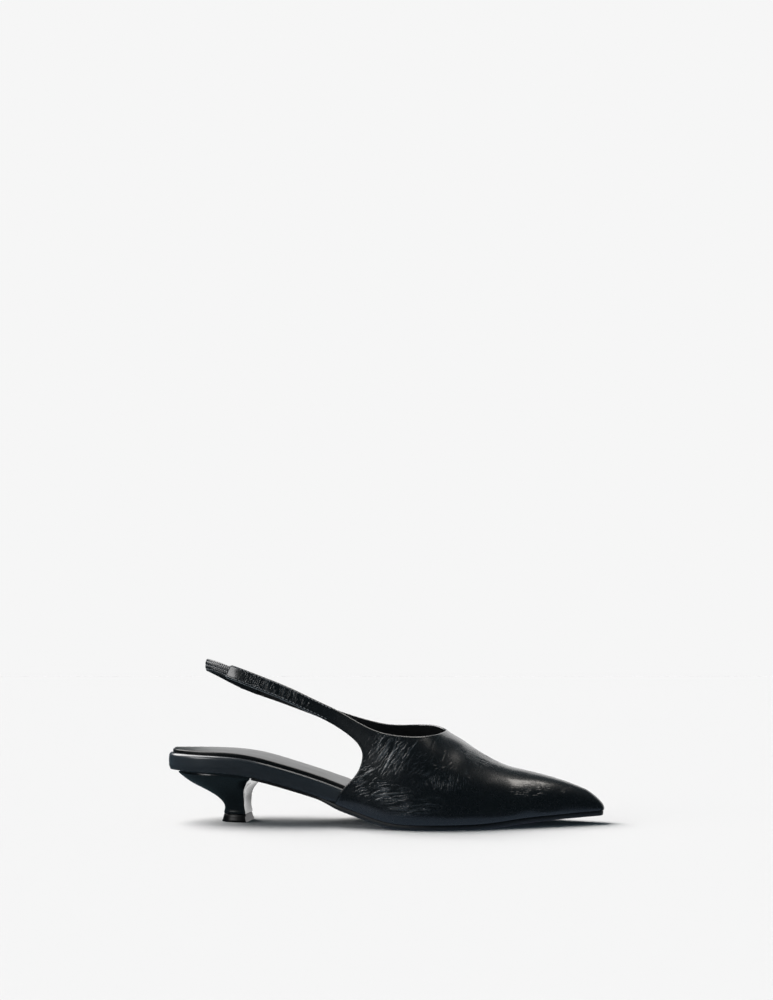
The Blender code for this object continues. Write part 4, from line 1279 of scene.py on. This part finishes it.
def stitch_tree(name, surface):
    """Sews a run of stitches along each curve: one long grain for each pitch, turned along the seam."""
    tree = bpy.data.node_groups.new(name, "GeometryNodeTree")
    tree.interface.new_socket("Geometry", in_out="INPUT", socket_type="NodeSocketGeometry")
    for size in ("Pitch", "Stitch length", "Thread"):
        tree.interface.new_socket(size, in_out="INPUT", socket_type="NodeSocketFloat")
    tree.interface.new_socket("Geometry", in_out="OUTPUT", socket_type="NodeSocketGeometry")
    given = node(tree, "NodeGroupInput")
    path = {"Curve": given.outputs["Geometry"], "Length": given.outputs["Pitch"]}
    seam = node(tree, "GeometryNodeCurveToPoints", path, mode="LENGTH")
    ball = node(tree, "GeometryNodeMeshUVSphere", {"Segments": 8, "Rings": 6, "Radius": 0.5}).outputs[0]
    thick, long = given.outputs["Thread"], given.outputs["Stitch length"]
    size = node(tree, "ShaderNodeCombineXYZ", {"X": thick, "Y": thick, "Z": long}).outputs[0]
    turned = {"Points": seam.outputs["Points"], "Rotation": seam.outputs["Rotation"]}
    sewn = node(tree, "GeometryNodeInstanceOnPoints", {**turned, "Instance": ball, "Scale": size})
    real = node(tree, "GeometryNodeRealizeInstances", {"Geometry": sewn.outputs[0]})
    done = node(tree, "GeometryNodeSetMaterial", {"Geometry": real.outputs[0], "Material": surface})
    node(tree, "NodeGroupOutput", {"Geometry": done.outputs[0]})
    return tree


def sew(name, seams, tree, sizes):
    """A plain mesh of the stitches along the seams, each a run of points."""
    curve = bpy.data.curves.new(name + " path", "CURVE")
    curve.dimensions = "3D"
    for points in seams:
        run = curve.splines.new("POLY")
        run.points.add(len(points) - 1)
        run.points.foreach_set("co", np.column_stack([points, np.ones(len(points))]).ravel())
    path = bpy.data.objects.new(name + " path", curve)
    bpy.context.scene.collection.objects.link(path)
    sewing = path.modifiers.new("stitches", "NODES")
    sewing.node_group = tree
    for item in tree.interface.items_tree:
        if item.in_out == "INPUT" and item.name in sizes:
            sewing[item.identifier] = sizes[item.name]
    bpy.context.view_layer.update()
    data = bpy.data.meshes.new_from_object(path.evaluated_get(bpy.context.evaluated_depsgraph_get()))
    bpy.data.objects.remove(path)
    data.name = name
    data.shade_smooth()
    made = bpy.data.objects.new(name, data)
    bpy.context.scene.collection.objects.link(made)
    return made


seams = []
for side in (OUTER, INNER):
    first = TOE_COLUMNS + 1 + int(np.searchsorted(PLACES, SEAM_START))
    for top in (True, False):
        run = []
        for c in range(first, len(upper_outer[side])):
            line = upper_outer[side][c]
            way = way_along(line)
            at = way[-1] - SEAM_INSET + WALL / 2 if top else SEAM_INSET - WALL / 2
            lift = upper_normals[side][c, -2 if top else 1] * STITCH_PROUD * THREAD
            run.append([np.interp(at, way, line[:, k]) for k in range(3)] + lift + SHIFT)
        seams.append(np.array(run))
stitching = stitch_tree("lockstitch", thread)
seam_sizes = {"Pitch": STITCH_PITCH, "Stitch length": STITCH, "Thread": THREAD}
strap_seams = sew("strap_seams", seams, stitching, seam_sizes)
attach(strap_seams, "root")


# Elastic
# A woven elastic band inside a gathered tube of thin leather, which joins the straps round the heel. At rest
# the leather stands in close ribs between rows of stitches. Its ends are sewn inside the straps.

ELASTIC = 1.8 * MM
ELASTIC_INSET = 0.4 * MM  # narrower than the strap, at each edge
ELASTIC_ROUND = 0.7 * MM  # rounding of its two edges
ELASTIC_COLUMNS, ELASTIC_ROWS = 301, 24
ELASTIC_SEAMS = (0.125, 0.50, 0.875)  # rows of stitches, as shares of its width
SEAM_WIDE = 0.05  # half width of the furrow that each row draws in, as a share of the same
SEAM_SUNK = 0.15 * MM
RIB = 1.5 * MM  # from rib to rib
RIB_HEIGHT = 0.46 * MM
FULLNESS = 0.55 * MM  # how far the tube stands out in its middle
TUBE_SUNK = 0.25 * MM  # and how far it lies under the band's plain face at its edges
UNSEWN = 8  # columns at each end without stitches
ELASTIC_PROUD = 0.10  # how far a stitch's middle stands off the band, in millimetres

# The loop round the heel, from the outer strap's end at -1 to the inner one's at 1, and the height of its
# lower edge over the feather line as a share of INSTEP
LOOP = table(
    "turn low_up",
    (
        (-1.00, 1.055),
        (-0.78, 1.098),
        (-0.55, 1.142),
        (-0.30, 1.163),
        (0.00, 1.160),
        (0.30, 1.120),
        (0.55, 1.045),
        (0.78, 0.970),
        (1.00, 0.919),
    ),
)


def make_elastic(surface):
    """The band, and the runs of points that its stitches follow."""
    turns = np.linspace(-1, 1, ELASTIC_COLUMNS)
    rows = ELASTIC_ROWS
    lines = []
    for turn in turns:
        side = OUTER if turn < 0 else INNER
        x = STRAP_TURN - (STRAP_TURN - STRAP_BACK) * np.cos(turn * np.pi / 2)
        low = spline(LOOP["turn"], LOOP["low_up"], turn) * INSTEP + ELASTIC_INSET
        high = low + STRAP_WIDTH - 2 * ELASTIC_INSET
        heights = np.linspace(low + ELASTIC_ROUND, high - ELASTIC_ROUND, rows + 1)
        lines.append(skin(side, np.full(rows + 1, x), heights / ridge_height(x)))
    points = np.array(lines)
    normal = grid_normals(points, False)
    if np.mean(normal[ELASTIC_COLUMNS // 2, :, 0]) > 0:
        normal = -normal
    points = points - normal * FEATHER_REACH
    way = way_along(points[:, rows // 2])[:, None]
    across = np.linspace(0, 1, rows + 1)[None, :]
    sewn = sum(np.exp(-(((across - at) / SEAM_WIDE) ** 2)) for at in ELASTIC_SEAMS)
    ribs = np.abs(np.sin(np.pi * way / RIB + 0.5 * np.sin(9 * across + way / (3 * MM))))
    raised = RIB_HEIGHT * (ribs**0.7 - 0.5) * (1 - 0.75 * np.clip(sewn, 0, 1)) - SEAM_SUNK * sewn
    raised = raised + FULLNESS * (1 - (2 * across - 1) ** 4) - TUBE_SUNK
    outer = points + normal * raised[:, :, None]
    inner = points - normal * ELASTIC
    mesh = bmesh.new()
    angles = np.linspace(0, np.pi, TURN_STEPS + 1)[1:-1]
    loops = []
    for c in range(len(turns)):
        loop = list(outer[c])
        for inside, edge in ((-2, -1), (1, 0)):
            up = unit(points[c, edge] - points[c, inside])
            out = normal[c, edge]
            middle = points[c, edge] - out * ELASTIC / 2
            arc = [middle + ELASTIC / 2 * (np.cos(a) * out + 0.75 * np.sin(a) * up) for a in angles]
            loop += arc + list(inner[c][::-1]) if edge else arc[::-1]
        loops.append([mesh.verts.new(point + SHIFT) for point in loop])
    for before, after in zip(loops, loops[1:]):
        for j in range(len(before)):
            mesh.faces.new([before[j - 1], before[j], after[j], after[j - 1]])
    count = rows + 1
    arc_end = count + len(angles)
    for loop in (loops[0], loops[-1]):
        front, over = loop[:count], loop[count:arc_end]
        back, under = loop[arc_end : arc_end + count][::-1], loop[arc_end + count :]
        for r in range(rows):
            mesh.faces.new([front[r], front[r + 1], back[r + 1], back[r]])
        mesh.faces.new([front[-1], *over, back[-1]])
        mesh.faces.new([back[0], *under, front[0]])
    bmesh.ops.recalc_face_normals(mesh, faces=mesh.faces)
    made = mesh_object("shirred_elastic", mesh, [surface])
    seams = []
    sewn_part = slice(UNSEWN, -UNSEWN)
    for at in ELASTIC_SEAMS:
        r = int(round(at * rows))
        seams.append(outer[sewn_part, r] + normal[sewn_part, r] * ELASTIC_PROUD * MM + SHIFT)
    return made, seams


# The same calf, split thin and gathered: its gloss breaks up on the ribs into small soft spots
thin_calf = black_leather(
    "thin gathered black calf", "#0b0e13", "#151a20", 0.36, 0.35, 0.2, 0.5 * MM, 0.05
)[0]
elastic, elastic_seams = make_elastic(thin_calf)
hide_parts("heel_elastic")
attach(elastic, "root")
fine_sizes = {"Pitch": 1.5 * MM, "Stitch length": 1.1 * MM, "Thread": 0.36 * MM}
elastic_stitches = sew("elastic_seams", elastic_seams, stitching, fine_sizes)
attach(elastic_stitches, "root")


# Sock
# A sheet of thin smooth leather over a foam pad, cemented on the footbed. The foam makes it crown a little in
# the middle, and pressing it down leaves its edge round. Its face is plain from end to end.

SOCK = 1.9 * MM  # at its edge
SOCK_CROWN = 0.5 * MM  # more at its middle
SOCK_INSET = 2.5 * MM  # inside the footbed's edge
SOCK_ROUND = 0.7 * MM  # rounding of its upper edge
SOCK_ROUND_STEPS = 5
SOCK_RIBS = 40  # faces from side to side, enough for the crown
SOCK_SLACK = 0.06  # height of the foam's own unevenness, in millimetres
SOCK_HALF_WIDE = 20 * MM

# Smooth lining leather, finished without a coat: an even, soft sheen with no sharp light on it
sock_leather = black_leather(
    "smooth black sock leather", "#070708", "#0d0d0d", 0.30, 0.0, 0.25, 0.6 * MM, 0.02
)[0]


def make_sock():
    x = stations(0, FOOTBED_STATIONS)
    both = (x, x)

    def base(at):
        return feather(at) + footbed_height(at) + GAP

    def crown(at, across):
        soft = 1 - across**2
        uneven = slack(np.array(at), np.array(across * SOCK_HALF_WIDE), 21, SOCK_SLACK)
        return soft * (SOCK_CROWN * open_waist(at) + uneven)

    rings = [
        plan_ring(both, lambda at: -SOCK_INSET + 0 * at, base),
        plan_ring(both, lambda at: -SOCK_INSET + 0 * at, lambda at: base(at) + SOCK - SOCK_ROUND),
    ]
    for angle in np.linspace(0, np.pi / 2, SOCK_ROUND_STEPS + 1)[1:]:
        rings.append(
            plan_ring(
                both,
                lambda at: -SOCK_INSET - SOCK_ROUND * (1 - np.cos(angle)) + 0 * at,
                lambda at: base(at) + SOCK - SOCK_ROUND * (1 - np.sin(angle)),
            )
        )
    return loft("padded_sock", rings, SOCK_RIBS, sock_leather, crown)


sock = make_sock()
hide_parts("sock")
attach(sock, "root")


# Heel
# A moulded plastic heel covered in thin polished leather, drawn tight round the back and turned in at both
# ends. It has faint pulls on the breast, a groove under the rand and a fine line above the top piece.

SEAT_INSET = 1.1 * MM  # heel cover inside the rand, at the sides
SEAT_BACK = 4.0 * MM  # heel cover inside the rand, at the back
NECK_BACK = 34.1 * MM
NECK_BREAST = 47.9 * MM
NECK_WIDTH = 16 * MM
NECK_ROUND = 0.9  # roundness of the neck's back, where 1 is an ellipse
NECK_SIDES = 0.75  # fullness of the neck's sides, where 1 is an ellipse
BREAST_BOW = 1.2 * MM
BREAST_PULL = 0.25 * MM
TURNED_IN = 0.03  # how far the cover turns in over the top piece, and how high up, as shares of the heel
GROOVE = 0.04  # how far it turns in under the rand, as a share of the same
TOP_PIECE = 4.6 * MM
TOP_EDGE = 0.4 * MM  # top piece outside the neck, at its upper edge
TOP_FLARE = 1.1 * MM  # and this much more near the floor
HEEL_POINTS = 56  # round each side of the heel, from its breast to its back
HEEL_RIBS = 10

# The heel from its top piece up to the seat, as shares of the way from the neck to the seat
HEEL = table(
    "up back breast wide",
    (
        (0.00, 0.02, 0.12, 0.03),
        (0.10, 0.00, 0.05, 0.00),
        (0.20, 0.01, 0.00, 0.00),
        (0.30, 0.07, 0.00, 0.02),
        (0.40, 0.17, 0.00, 0.07),
        (0.50, 0.31, 0.03, 0.15),
        (0.60, 0.48, 0.12, 0.28),
        (0.70, 0.65, 0.29, 0.44),
        (0.80, 0.79, 0.50, 0.62),
        (0.90, 0.90, 0.74, 0.81),
        (1.00, 1.00, 1.00, 1.00),
    ),
)

# How far up the rings lie, closest together where the cover turns in
HEEL_UPS = np.concatenate([[0.0, 0.012, 0.03], np.linspace(0.06, 0.93, 54), [0.94, 0.95, 0.96, 0.97, 1.0]])

# Thin calf, drawn tight and polished: hardly any grain, so it mirrors the room in long clean shapes
cover = black_leather("polished black heel cover", "#04070a", "#070a0e", 0.22, 0.8, 0.07, 0.9 * MM, 0.0005)[0]


def even(points, count):
    """Points at even ways along a run."""
    way = way_along(points)
    at = np.linspace(0, way[-1], count + 1)
    return np.column_stack([np.interp(at, way, points[:, k]) for k in range(3)])


def neck_ring(back, breast, half_width, height, count):
    """A D with its flat side to the front."""
    angle = np.linspace(0, np.pi / 2, count + 1)
    depth = np.sin(angle) ** NECK_ROUND
    width = half_width * np.maximum(np.cos(angle), 0) ** NECK_SIDES
    sides = []
    for side, sign in ((OUTER, -1), (INNER, 1)):
        y = sign * width
        x = breast - (breast - back) * depth + BREAST_TURN * y * (1 - depth)
        sides.append(np.column_stack([x, y, np.broadcast_to(height, len(x))]))
    sides[INNER][-1] = sides[OUTER][-1]
    return sides


def make_heel():
    count = HEEL_POINTS
    foot = TOP_PIECE + GAP
    seat = []
    for side in (OUTER, INNER):
        run, normal = OUTLINE[side]
        inset = run - normal * SEAT_INSET
        part = inset[inset[:, 0] < BREAST][::-1]
        part = even(np.column_stack([part, 0 * part[:, 0]]), count)
        depth = (part[0, 0] - part[:, 0]) / (part[0, 0] - part[-1, 0])
        seat.append((depth, part[:, 1] * (1 - (np.arange(count + 1) == count))))
    neck = neck_ring(NECK_BACK, NECK_BREAST, NECK_WIDTH / 2, 0.0, count)
    neck_depth = np.sin(np.linspace(0, np.pi / 2, count + 1)) ** NECK_ROUND
    rings = []
    bows = []
    for up in HEEL_UPS:
        back = NECK_BACK + (SEAT_BACK - NECK_BACK) * spline(HEEL["up"], HEEL["back"], up)
        breast = NECK_BREAST + (BREAST - NECK_BREAST) * spline(HEEL["up"], HEEL["breast"], up)
        wide = np.clip(spline(HEEL["up"], HEEL["wide"], up), 0, 1)
        sides = []
        for side in (OUTER, INNER):
            depth = neck_depth + (seat[side][0] - neck_depth) * wide
            y = neck[side][:, 1] + (seat[side][1] - neck[side][:, 1]) * wide
            x = breast - (breast - back) * depth + BREAST_TURN * y * (1 - depth)
            z = foot + (feather(x) - GAP - foot) * up
            turned_in = TURNED_IN * (1 - ease(up, 0.0, TURNED_IN))
            groove = GROOVE * ease(up, 0.935, 0.97)
            x = x + ((breast + back) / 2 - x) * turned_in + (breast - x) * groove
            sides.append(np.column_stack([x, y * (1 - turned_in - groove), z]))
        sides[INNER][-1] = sides[OUTER][-1]
        rings.append(sides)
        pulled = BREAST_PULL * np.sin(19 * up + 1.0) * np.sin(np.pi * up)
        bows.append(BREAST_BOW * np.sin(np.pi * up) + pulled)
    return loft("covered_heel", rings, HEEL_RIBS, cover, bow=bows)


heel = make_heel()
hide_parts("heel")
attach(heel, "root")


# Top piece
# A small block of hard moulded rubber, pinned under the heel. It is ground flush with the cover at its upper
# edge and flares a little to the floor, so it shows a dull edge with a soft line round its foot.

# Hard rubber, ground at its edge on a fine wheel: darker and duller than the cover, with a faint tooth
hard_rubber, hard_tree, hard_shader = toothed_black(
    "ground black top piece rubber", "#040506", "#090a0c", 0.35 * MM, 0.008 * MM, 0.3
)
feed(hard_tree, hard_shader, {"Specular IOR Level": 0.2})

# Heights up the top piece as shares of it, and how much of the flare is there
FLARES = ((0.0, 0.8), (0.03, 0.93), (0.10, 1.0), (0.35, 0.60), (0.65, 0.25), (0.96, 0.0), (1.0, -0.2))
rings = []
for height, flare in FLARES:
    grow = TOP_EDGE + flare * TOP_FLARE
    half_width = NECK_WIDTH / 2 + grow
    rings.append(neck_ring(NECK_BACK - grow, NECK_BREAST + grow, half_width, height * TOP_PIECE, HEEL_POINTS))
top_piece = loft("heel_top_piece", rings, 6, hard_rubber)
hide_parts("top_piece")
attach(top_piece, "root")
